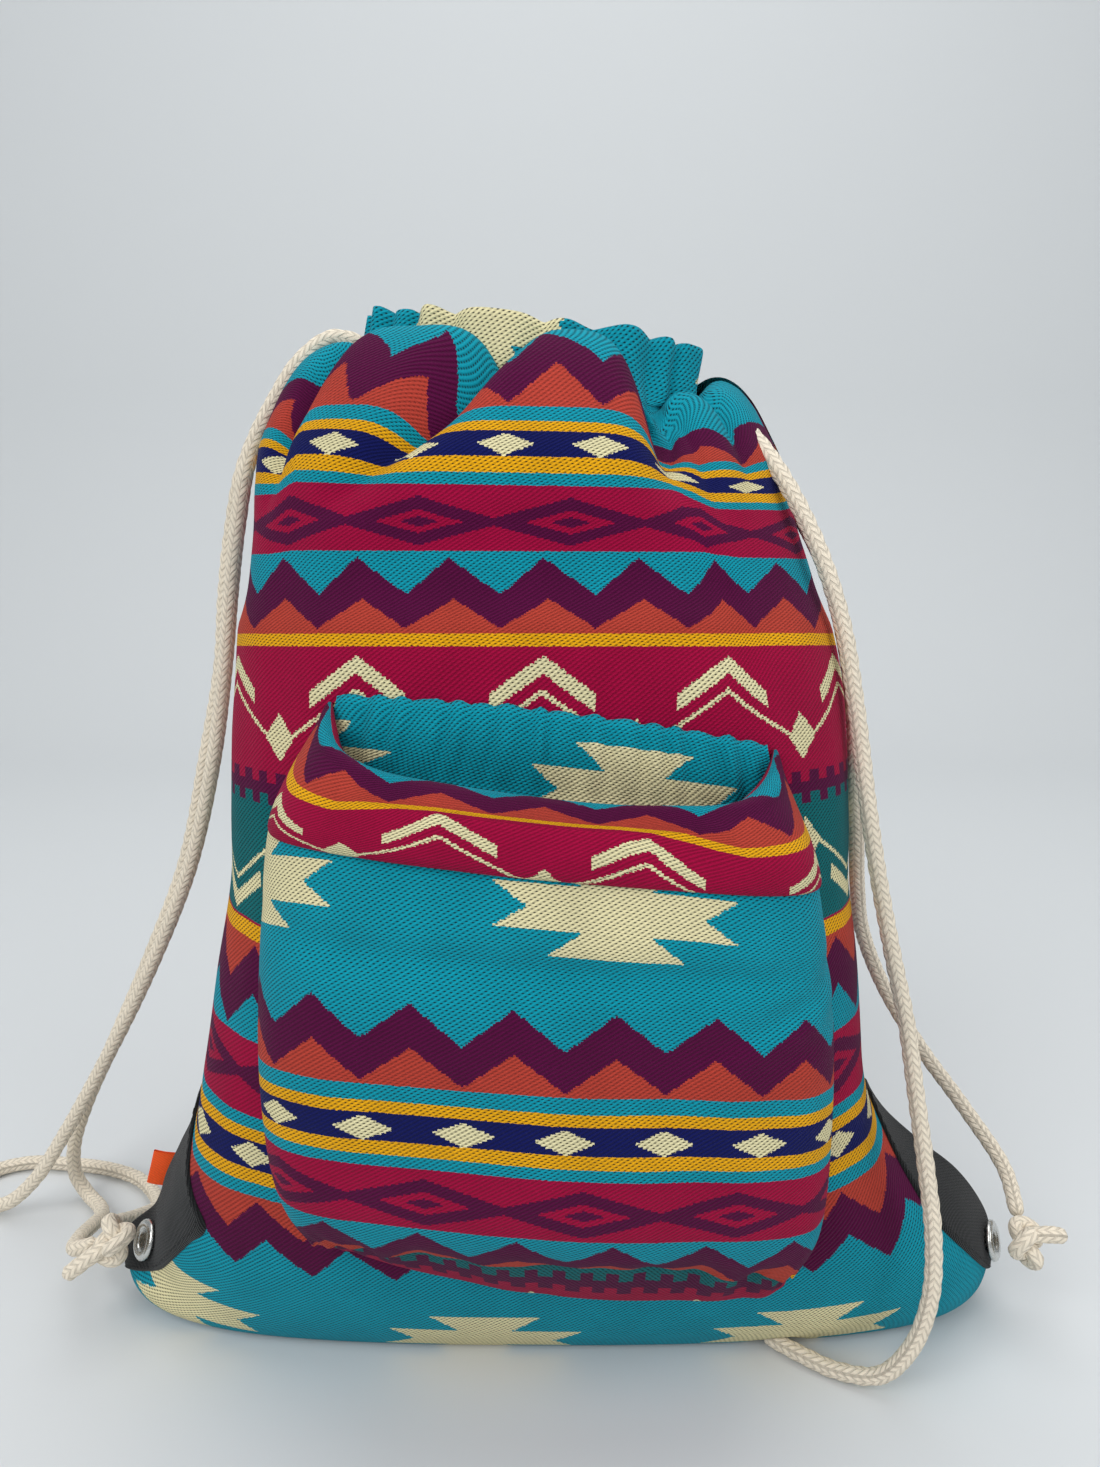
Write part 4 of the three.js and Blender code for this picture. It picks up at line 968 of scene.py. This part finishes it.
def stitch_row(name, line, slot, length=2.6 * MM, gap=1.3 * MM, radius=0.32 * MM):
    """Short sunk stitches of sewing thread along a line of points."""
    line = np.array(line)
    reach = np.concatenate([[0], np.cumsum(np.linalg.norm(np.diff(line, axis=0), axis=1))])
    points, faces, uvs = [], [], []
    start = gap
    while start + length < reach[-1]:
        span = (start, start + length)
        ends = np.array([[np.interp(v, reach, line[:, k]) for k in range(3)] for v in span])
        way = (ends[1] - ends[0]) / np.linalg.norm(ends[1] - ends[0])
        side = np.cross(way, (0.31, 0.52, 0.8))
        side /= np.linalg.norm(side)
        up = np.cross(way, side)
        for share in (0.0, 0.12, 0.5, 0.88, 1.0):
            wide = radius * (0.25 if share in (0.0, 1.0) else 1.0)
            for k in range(6):
                turn = math.pi / 3 * k
                middle = ends[0] + (ends[1] - ends[0]) * share
                points.append(middle + wide * (math.cos(turn) * side + math.sin(turn) * up))
                uvs.append((k / 6, share))
        base = len(points) - 30
        faces += [tuple(base + i for i in face) for face in grid_faces(5, 6, wrap=True)]
        start += length + gap
    return new_piece(name, points, faces, slot, uvs)


def corner_seam(rows, side, column):
    """Stitches just inside one edge of a canvas corner."""
    lifted = [in_frame(p) for p in rows[3:-3, column]]
    stitch_row(f"corner_stitches_{side}", [tuple(p) for p in lifted], "black_canvas", radius=0.26 * MM)


def make_tab():
    """A folded loop of orange tape, sewn in behind the left corner and left plain."""
    root = wall_row(BACK, 0.145, -1.4, np.array([-0.94]))[0]
    width, reach, half = 15.0, 13.0, 0.55
    outline = []
    for k in range(14):
        outline.append((-reach * k / 13 + 2.0, half))
    for k in range(1, 8):
        turn = math.pi * k / 8
        outline.append((-reach + 2.0 - half * math.sin(turn), half * math.cos(turn)))
    for k in range(14):
        outline.append((-reach + 2.0 + reach * k / 13, -half))
    rows = []
    for k in range(15):
        up = width * (k / 14 - 0.5)
        row = []
        for x, y in outline:
            bow = 0.9 * math.sin(x * 0.24)
            row.append((root[0] + x + 0.28 * up, root[1] + 0.8 + y + bow, root[2] + up - 0.16 * x))
        rows.append(row)
    rows = np.array(rows)
    heights = np.repeat(np.linspace(0, width, 15)[:, None], len(outline), axis=1)
    uvs = sheet_uvs(rows, np.linspace(-1, 1, len(outline)), heights).reshape(-1, 2)
    tab = cloth_grid("folded_tab", rows, uvs, "orange_tape")
    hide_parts("side_tab")
    return tab


corners = {side: make_corner(side, hand) for side, hand in (("left", -1), ("right", 1))}
for side, (centre, facing) in CORNER_SEATS.items():
    for cloth in (corners[side][0], front_wall, back_wall):
        punch(cloth, centre, facing, PUNCH_RADIUS)
for side in CORNER_SEATS:
    make_eyelet(side)
folded_tab = make_tab()
for side in corners:
    corner_seam(corners[side][1], side, 3)
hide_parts("front_panel")
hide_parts("back_panel")


# Colours, as seen in daylight
def dye(red, green, blue):
    """A colour written as 0 to 255 values, turned into the linear values that shaders take."""
    def linear(value):
        value /= 255
        return value / 12.92 if value <= 0.04045 else ((value + 0.055) / 1.055) ** 2.4
    return (linear(red), linear(green), linear(blue), 1)


TURQUOISE = dye(4, 143, 163)
MAGENTA = dye(154, 0, 56)
PURPLE = dye(81, 2, 56)
RUST = dye(176, 61, 48)
YELLOW = dye(224, 162, 14)
NAVY = dye(10, 18, 84)
CREAM = dye(222, 213, 168)
TEAL = dye(0, 98, 102)
WARP = dye(12, 16, 18)
BLACK_CANVAS = dye(11, 14, 16)
COTTON = dye(236, 224, 204)
TAPE = dye(252, 92, 32)
NICKEL = dye(205, 205, 202)


class Loom:
    """Short ways to lay out the nodes of one shader or group."""

    def __init__(self, tree):
        self.tree = tree

    def node(self, kind, **values):
        node = self.tree.nodes.new(kind)
        for key, value in values.items():
            setattr(node, key, value)
        return node

    def feed(self, socket, value):
        if isinstance(value, bpy.types.NodeSocket):
            self.tree.links.new(value, socket)
        else:
            socket.default_value = value

    def sum(self, operation, a, b=0.0, c=0.0):
        node = self.node("ShaderNodeMath", operation=operation)
        for socket, value in zip(node.inputs, (a, b, c)):
            self.feed(socket, value)
        return node.outputs[0]

    def add(self, a, b):
        return self.sum("ADD", a, b)

    def take(self, a, b):
        return self.sum("SUBTRACT", a, b)

    def times(self, a, b):
        return self.sum("MULTIPLY", a, b)

    def over(self, a, b):
        return self.sum("GREATER_THAN", a, b)

    def under(self, a, b):
        return self.sum("LESS_THAN", a, b)

    def size(self, a):
        return self.sum("ABSOLUTE", a)

    def fold(self, a, centre, half):
        """Distance from the nearest of a row of centres that lie two halves apart."""
        return self.sum("PINGPONG", self.take(a, centre), half)

    def both(self, *masks):
        result = masks[0]
        for mask in masks[1:]:
            result = self.times(result, mask)
        return result

    def either(self, a, b):
        return self.sum("MAXIMUM", a, b)

    def tint(self, mask, base, colour):
        """The base colour where the mask is 0, and the other colour where it is 1."""
        node = self.node("ShaderNodeMix", data_type="RGBA")
        self.feed(node.inputs[0], mask)
        self.feed(node.inputs[6], base)
        self.feed(node.inputs[7], colour)
        return node.outputs[2]

    def noise(self, vector, scale, detail=2.0):
        node = self.node("ShaderNodeTexNoise")
        self.feed(node.inputs["Vector"], vector)
        node.inputs["Scale"].default_value = scale
        node.inputs["Detail"].default_value = detail
        return node.outputs["Fac"]

    def bend(self, value, low, high, to_low=0.0, to_high=1.0):
        """The value read off a smooth ramp from low to high."""
        node = self.node("ShaderNodeMapRange", interpolation_type="SMOOTHSTEP")
        self.feed(node.inputs[0], value)
        for socket, number in zip(node.inputs[1:5], (low, high, to_low, to_high)):
            socket.default_value = number
        return node.outputs[0]


def new_group(name, inputs, outputs):
    """A shader node group with the named inputs and outputs."""
    group = bpy.data.node_groups.new(name, "ShaderNodeTree")
    for label, kind, value in inputs:
        socket = group.interface.new_socket(label, in_out="INPUT", socket_type=kind)
        if value is not None:
            socket.default_value = value
    for label, kind in outputs:
        group.interface.new_socket(label, in_out="OUTPUT", socket_type=kind)
    loom = Loom(group)
    start = loom.node("NodeGroupInput")
    end = loom.node("NodeGroupOutput")
    return group, loom, start.outputs, end.inputs


def place_group(loom, group, **values):
    """Places a group in a material and feeds its inputs by name."""
    node = loom.node("ShaderNodeGroup", node_tree=group)
    for label, value in values.items():
        loom.feed(node.inputs[label.replace("_", " ")], value)
    return node.outputs


# Length of one yarn of the braid along the cord, in millimetres
YARN_PITCH = 3.1

# Stripes of the cloth, mirrored about the row of small purple squares at this height
MIRROR = 254
REPEAT = 31
PEAK = 4
STRIPES = [
    (0, MAGENTA), (46, YELLOW), (51, RUST), (82.3, TURQUOISE), (84, MAGENTA), (109, TURQUOISE),
    (114.5, YELLOW), (119.5, NAVY), (129.5, YELLOW), (134.5, TURQUOISE), (140, RUST),
    (170.5, TURQUOISE), (241.5, RUST), (272, TURQUOISE),
]
STRIPE_SPAN = 300


def stripe_group():
    """Colours of the jacquard by its flat place on the cloth, in millimetres."""
    group, loom, given, made = new_group(
        "jacquard stripes",
        [("Across", "NodeSocketFloat", 0.0), ("Up", "NodeSocketFloat", 0.0)], [("Color", "NodeSocketColor")],
    )
    across, up = given["Across"], given["Up"]
    far = loom.size(loom.take(up, MIRROR))
    ramp = loom.node("ShaderNodeValToRGB")
    ramp.color_ramp.interpolation = "CONSTANT"
    stops = ramp.color_ramp.elements
    for i, (start, colour) in enumerate(STRIPES):
        stop = stops[i] if i < 2 else stops.new(start / STRIPE_SPAN)
        stop.position = start / STRIPE_SPAN
        stop.color = colour
    loom.feed(ramp.inputs[0], loom.sum("DIVIDE", far, STRIPE_SPAN))
    colour = ramp.outputs[0]
    lower = loom.under(up, MIRROR)
    colour = loom.tint(loom.both(lower, loom.under(far, 46)), colour, TEAL)

    # Zigzag bands of turquoise, purple and rust
    near_band = loom.sum("DIVIDE", loom.take(far, 51), 33)
    far_band = loom.sum("DIVIDE", loom.take(far, 140), 32)
    end_band = loom.sum("DIVIDE", loom.take(272, far), 32)
    rise = loom.add(loom.times(loom.under(far, 112), near_band), loom.times(loom.over(far, 112), far_band))
    rise = loom.add(loom.times(loom.under(far, 206), rise), loom.times(loom.over(far, 206), end_band))
    band = loom.both(loom.over(rise, 0), loom.under(rise, 1))
    slope = loom.sum("DIVIDE", loom.fold(across, PEAK, REPEAT / 2), REPEAT / 2)
    purple = loom.over(rise, loom.take(0.47, loom.times(slope, 0.4)))
    blue = loom.over(rise, loom.take(0.95, loom.times(slope, 0.42)))
    colour = loom.tint(loom.both(band, purple), colour, PURPLE)
    colour = loom.tint(loom.both(band, blue), colour, TURQUOISE)

    # Purple diamonds, one inside another, on magenta
    diamond = loom.add(
        loom.sum("DIVIDE", loom.fold(across, 13, 0.8 * REPEAT), 0.8 * REPEAT),
        loom.sum("DIVIDE", loom.size(loom.take(far, 96.5)), 8.2),
    )
    ring = loom.both(loom.over(diamond, 0.6), loom.under(diamond, 1.2))
    ring = loom.either(ring, loom.under(diamond, 0.27))
    on_band = loom.both(loom.over(far, 85), loom.under(far, 108))
    colour = loom.tint(loom.both(ring, on_band), colour, PURPLE)

    # Cream diamonds on navy
    bead = loom.add(
        loom.sum("DIVIDE", loom.fold(across, PEAK + REPEAT / 2, REPEAT / 2), 9.6),
        loom.sum("DIVIDE", loom.size(loom.take(far, 124.5)), 4.7),
    )
    colour = loom.tint(loom.under(bead, 1), colour, CREAM)

    # Cream chevrons with a thin one inside, and diamonds between them
    low = loom.take(46, far)
    away = loom.fold(across, PEAK, REPEAT)
    thick = loom.take(loom.take(low, 1.8), loom.times(away, 0.62))
    thick = loom.both(loom.over(thick, 0), loom.under(thick, 5.2), loom.under(away, 17.5))
    thin = loom.under(loom.size(loom.take(loom.take(low, 12), loom.times(away, 0.62))), 0.85)
    thin = loom.both(thin, loom.under(away, 26))
    gem = loom.add(
        loom.sum("DIVIDE", loom.take(REPEAT, away), 6.8),
        loom.sum("DIVIDE", loom.size(loom.take(low, 28)), 8.2),
    )
    marks = loom.either(loom.either(thick, thin), loom.under(gem, 1))
    colour = loom.tint(loom.both(marks, loom.over(low, 0), loom.over(far, 4)), colour, CREAM)

    # The row of small purple squares in the middle
    square = loom.over(loom.sum("FRACT", loom.sum("DIVIDE", across, 9.6)), 0.46)
    square = loom.size(loom.take(square, lower))
    squares = loom.either(loom.under(far, 1.9), loom.both(square, loom.under(far, 5.6)))
    colour = loom.tint(squares, colour, PURPLE)

    # Serrated cream motifs on turquoise
    beside = loom.fold(across, PEAK - REPEAT, 2 * REPEAT)
    above = loom.size(loom.take(far, 206))
    wide = loom.both(loom.under(above, 7.5), loom.under(beside, loom.add(27, loom.times(above, 1.4))))
    narrow = loom.under(beside, loom.add(10.5, loom.times(loom.take(above, 7.5), 1.22)))
    narrow = loom.both(narrow, loom.over(above, 7.4), loom.under(above, 16.5))
    colour = loom.tint(loom.either(wide, narrow), colour, CREAM)
    loom.feed(made["Color"], colour)
    return group


def weave_group():
    """Steep twill rows with dark warp showing between them, from a flat place in millimetres."""
    group, loom, given, made = new_group(
        "twill weave",
        [
            ("Across", "NodeSocketFloat", 0.0), ("Up", "NodeSocketFloat", 0.0),
            ("Pitch", "NodeSocketFloat", 1.3),
        ],
        [("Gaps", "NodeSocketFloat"), ("Height", "NodeSocketFloat"), ("Rows", "NodeSocketFloat")],
    )
    across, up, pitch = given["Across"], given["Up"], given["Pitch"]
    lean = math.radians(36)
    over_rows = loom.take(loom.times(up, math.cos(lean)), loom.times(across, math.sin(lean)))
    on_rows = loom.add(loom.times(across, math.cos(lean)), loom.times(up, math.sin(lean)))
    row_turn = loom.times(loom.sum("DIVIDE", over_rows, pitch), 2 * math.pi)
    float_turn = loom.times(loom.sum("DIVIDE", on_rows, loom.times(pitch, 1.15)), 2 * math.pi)
    rows = loom.add(loom.times(loom.sum("COSINE", row_turn), 0.5), 0.5)
    floats = loom.add(loom.times(loom.sum("COSINE", loom.add(float_turn, row_turn)), 0.5), 0.5)
    valley = loom.bend(rows, 0.0, 0.55, 1.0, 0.0)
    gaps = loom.times(valley, loom.bend(floats, 0.45, 0.9))
    loom.feed(made["Gaps"], gaps)
    loom.feed(made["Rows"], rows)
    raised = loom.add(loom.times(rows, 0.7), loom.times(floats, 0.3))
    loom.feed(made["Height"], loom.take(raised, loom.times(gaps, 0.5)))
    return group


def fuzz_group():
    """Loose fibres and uneven yarn, from a point in space in metres."""
    group, loom, given, made = new_group(
        "yarn fuzz",
        [("Vector", "NodeSocketVector", None), ("Amount", "NodeSocketFloat", 0.2)],
        [("Shade", "NodeSocketFloat"), ("Height", "NodeSocketFloat")],
    )
    fine = loom.noise(given["Vector"], 1500, 3.0)
    broad = loom.noise(given["Vector"], 60, 2.0)
    mixed = loom.add(loom.times(loom.take(fine, 0.5), 1.2), loom.times(loom.take(broad, 0.5), 0.8))
    loom.feed(made["Shade"], loom.add(1.0, loom.times(mixed, given["Amount"])))
    loom.feed(made["Height"], fine)
    return group


STRIPE_GROUP = stripe_group()
WEAVE_GROUP = weave_group()
FUZZ_GROUP = fuzz_group()


def new_material(name, roughness, sheen=0.0, metallic=0.0):
    material = bpy.data.materials.new(name)
    material.use_nodes = True
    shader = material.node_tree.nodes["Principled BSDF"]
    shader.inputs["Roughness"].default_value = roughness
    shader.inputs["Sheen Weight"].default_value = sheen
    shader.inputs["Sheen Roughness"].default_value = 0.6
    shader.inputs["Metallic"].default_value = metallic
    shader.inputs["Specular IOR Level"].default_value = 0.12 if not metallic else 0.5
    return material, Loom(material.node_tree), shader.inputs


def scaled_colour(loom, colour, factor):
    """A colour made lighter or darker by a factor that changes over the surface."""
    node = loom.node("ShaderNodeVectorMath", operation="SCALE")
    loom.feed(node.inputs[0], colour if isinstance(colour, bpy.types.NodeSocket) else colour[:3])
    loom.feed(node.inputs["Scale"], factor)
    return node.outputs[0]


def raise_normal(loom, height, distance, strength=1.0):
    node = loom.node("ShaderNodeBump")
    loom.feed(node.inputs["Height"], height)
    node.inputs["Distance"].default_value = distance
    node.inputs["Strength"].default_value = strength
    return node.outputs[0]


def flat_place(loom):
    """Where a point lies on the flat cloth, in millimetres."""
    cut = loom.node("ShaderNodeUVMap", uv_map="cut")
    parts = loom.node("ShaderNodeSeparateXYZ")
    loom.feed(parts.inputs[0], cut.outputs[0])
    return loom.times(parts.outputs[0], 100), loom.times(parts.outputs[1], 100)


def body_point(loom):
    return loom.node("ShaderNodeTexCoord").outputs["Object"]


def jacquard_material():
    material, loom, shader = new_material("patterned_jacquard", 0.92, sheen=0.03)
    across, up = flat_place(loom)
    fuzz = place_group(loom, FUZZ_GROUP, Vector=body_point(loom), Amount=0.35)
    ragged = loom.times(loom.take(fuzz["Height"], 0.5), 0.9)
    step = 0.75
    snapped_across = loom.sum("SNAP", loom.add(across, ragged), step)
    snapped_up = loom.sum("SNAP", loom.add(up, ragged), step)
    stripes = place_group(loom, STRIPE_GROUP, Across=snapped_across, Up=snapped_up)
    weave = place_group(loom, WEAVE_GROUP, Across=across, Up=up, Pitch=1.3)
    parts = loom.node("ShaderNodeSeparateColor")
    loom.feed(parts.inputs[0], stripes["Color"])
    showing = loom.bend(parts.outputs[1], 0.0, 0.16, 0.2, 1.0)
    # painted shade and light: the colour is darker in the valleys between the twill rows and lighter on their
    # ridges, times the uneven yarn tone of the fuzz
    painted_shade_and_tone = loom.times(loom.bend(weave["Rows"], 0.0, 1.0, 0.82, 1.1), fuzz["Shade"])
    colour = scaled_colour(loom, stripes["Color"], painted_shade_and_tone)
    colour = loom.tint(loom.times(weave["Gaps"], showing), colour, WARP)
    loom.feed(shader["Base Color"], colour)
    loom.feed(shader["Roughness"], loom.bend(weave["Height"], 0.0, 1.0, 0.98, 0.85))
    height = loom.add(weave["Height"], loom.times(fuzz["Height"], 0.5))
    loom.feed(shader["Normal"], raise_normal(loom, height, 0.35 * MM, 0.7))
    return material


def canvas_material():
    material, loom, shader = new_material("black_canvas_cloth", 0.85, sheen=0.15)
    across, up = flat_place(loom)
    fuzz = place_group(loom, FUZZ_GROUP, Vector=body_point(loom), Amount=0.6)
    weave = place_group(loom, WEAVE_GROUP, Across=across, Up=up, Pitch=0.9)
    # painted shade and light: the canvas is darker in the valleys between the weave rows and lighter on their
    # ridges, times the uneven yarn tone of the fuzz
    painted_shade_and_tone = loom.times(loom.bend(weave["Rows"], 0.0, 1.0, 0.6, 1.25), fuzz["Shade"])
    loom.feed(shader["Base Color"], scaled_colour(loom, BLACK_CANVAS, painted_shade_and_tone))
    loom.feed(shader["Roughness"], loom.bend(weave["Height"], 0.0, 1.0, 0.95, 0.75))
    loom.feed(shader["Normal"], raise_normal(loom, weave["Height"], 0.25 * MM, 0.8))
    return material


def cotton_material():
    """Cotton braided in rows of slanting yarns that meet in points, four rows of points round the cord."""
    material, loom, shader = new_material("braided_cotton", 0.9, sheen=0.05)
    fuzz = place_group(loom, FUZZ_GROUP, Vector=body_point(loom), Amount=0.22)
    cut = loom.node("ShaderNodeUVMap", uv_map="cut")
    parts = loom.node("ShaderNodeSeparateXYZ")
    loom.feed(parts.inputs[0], cut.outputs[0])
    slant = loom.sum("PINGPONG", loom.times(parts.outputs[0], 8), 1)
    turn = loom.times(loom.add(loom.times(parts.outputs[1], 20 / YARN_PITCH), slant), 2 * math.pi)
    yarn = loom.add(loom.times(loom.sum("COSINE", turn), 0.5), 0.5)
    ridge = loom.sum("SINE", loom.times(slant, math.pi))
    plait = loom.times(loom.bend(yarn, 0.0, 0.45), loom.bend(ridge, 0.0, 0.35, 0.6, 1.0))
    # painted shade: the cotton colour darkens between the yarns and in the grooves between the rows of
    # points, times the uneven yarn tone of the fuzz
    painted_shade_and_tone = loom.times(loom.bend(plait, 0.0, 1.0, 0.8, 1.02), fuzz["Shade"])
    loom.feed(shader["Base Color"], scaled_colour(loom, COTTON, painted_shade_and_tone))
    loom.feed(shader["Roughness"], loom.bend(plait, 0.0, 1.0, 0.98, 0.86))
    height = loom.add(plait, loom.times(fuzz["Height"], 0.4))
    loom.feed(shader["Normal"], raise_normal(loom, height, 0.45 * MM, 0.7))
    return material


def tape_material():
    material, loom, shader = new_material("orange_tape_cloth", 0.7, sheen=0.1)
    across, up = flat_place(loom)
    fuzz = place_group(loom, FUZZ_GROUP, Vector=body_point(loom), Amount=0.3)
    weave = place_group(loom, WEAVE_GROUP, Across=across, Up=up, Pitch=0.7)
    # painted shade and light: the tape is darker in the valleys between the weave rows and lighter on their
    # ridges, times the uneven yarn tone of the fuzz
    painted_shade_and_tone = loom.times(loom.bend(weave["Rows"], 0.0, 1.0, 0.85, 1.08), fuzz["Shade"])
    loom.feed(shader["Base Color"], scaled_colour(loom, TAPE, painted_shade_and_tone))
    loom.feed(shader["Roughness"], loom.bend(weave["Height"], 0.0, 1.0, 0.8, 0.6))
    loom.feed(shader["Normal"], raise_normal(loom, weave["Height"], 0.12 * MM, 0.8))
    return material


def nickel_material():
    material, loom, shader = new_material("nickel_plate", 0.25, metallic=1.0)
    fuzz = place_group(loom, FUZZ_GROUP, Vector=body_point(loom), Amount=0.15)
    loom.feed(shader["Base Color"], scaled_colour(loom, NICKEL, fuzz["Shade"]))
    loom.feed(shader["Roughness"], loom.bend(fuzz["Height"], 0.3, 0.7, 0.18, 0.34))
    loom.feed(shader["Normal"], raise_normal(loom, fuzz["Height"], 0.02 * MM, 0.4))
    return material


JACQUARD = jacquard_material()
CANVAS = canvas_material()
BRAIDED_COTTON = cotton_material()
TAPE_CLOTH = tape_material()
NICKEL_PLATE = nickel_material()


# Finishes
FINISHES = {
    "patterned_cloth": JACQUARD, "black_canvas": CANVAS, "cotton_cord": BRAIDED_COTTON,
    "orange_tape": TAPE_CLOTH, "eyelet_metal": NICKEL_PLATE,
}


def dress_pieces():
    """Gives every piece the finish of its slot."""
    slots = {entry["node"]: entry["material_slot"] for entry in frame["record"]["subparts"]}
    for piece in scene.objects:
        name = piece.get("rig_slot") or slots.get(piece.name)
        if piece.type != "MESH" or name not in FINISHES:
            continue
        piece.data.materials.clear()
        piece.data.materials.append(FINISHES[name])


dress_pieces()


def make_stage():
    """A pale table top that runs up into a pale wall behind."""
    rows = [(-1.6, 0), (0.9, 0)]
    for k in range(1, 13):
        turn = math.pi / 2 * k / 12
        rows.append((0.9 + 0.5 * math.sin(turn), 0.5 - 0.5 * math.cos(turn)))
    rows.append((1.4, 3.0))
    points = [(x, y, z - 0.0002) for y, z in rows for x in (-4, 4)]
    mesh = bpy.data.meshes.new("backdrop")
    mesh.from_pydata(points, [], grid_faces(len(rows), 2))
    mesh.shade_smooth()
    stage = bpy.data.objects.new("backdrop", mesh)
    scene.collection.objects.link(stage)
    stage.data.materials.append(paper_material())


def paper_material():
    material = bpy.data.materials.new("pale_backdrop")
    material.use_nodes = True
    shader = material.node_tree.nodes["Principled BSDF"]
    shader.inputs["Base Color"].default_value = (0.68, 0.70, 0.71, 1)
    shader.inputs["Roughness"].default_value = 0.75
    return material


def make_lights():
    lamps = [
        ("window", (-0.9, -1.3, 1.5), 1.6, 21), ("room", (1.3, -0.9, 1.1), 1.4, 9),
        ("ceiling", (0.1, 0.3, 1.9), 1.8, 13),
    ]
    for name, place, size, power in lamps:
        data = bpy.data.lights.new(name, "AREA")
        data.shape = "DISK"
        data.size = size
        data.energy = power
        lamp = bpy.data.objects.new(name, data)
        lamp.location = place
        lamp.rotation_euler = (Vector((0, 0, 0.18)) - Vector(place)).to_track_quat("-Z", "Y").to_euler()
        scene.collection.objects.link(lamp)
    world = bpy.data.worlds.new("room_light")
    world.use_nodes = True
    world.node_tree.nodes["Background"].inputs["Color"].default_value = (0.86, 0.9, 0.93, 1)
    world.node_tree.nodes["Background"].inputs["Strength"].default_value = 0.45
    scene.world = world


make_stage()
make_lights()
scene.view_settings.view_transform = "Standard"
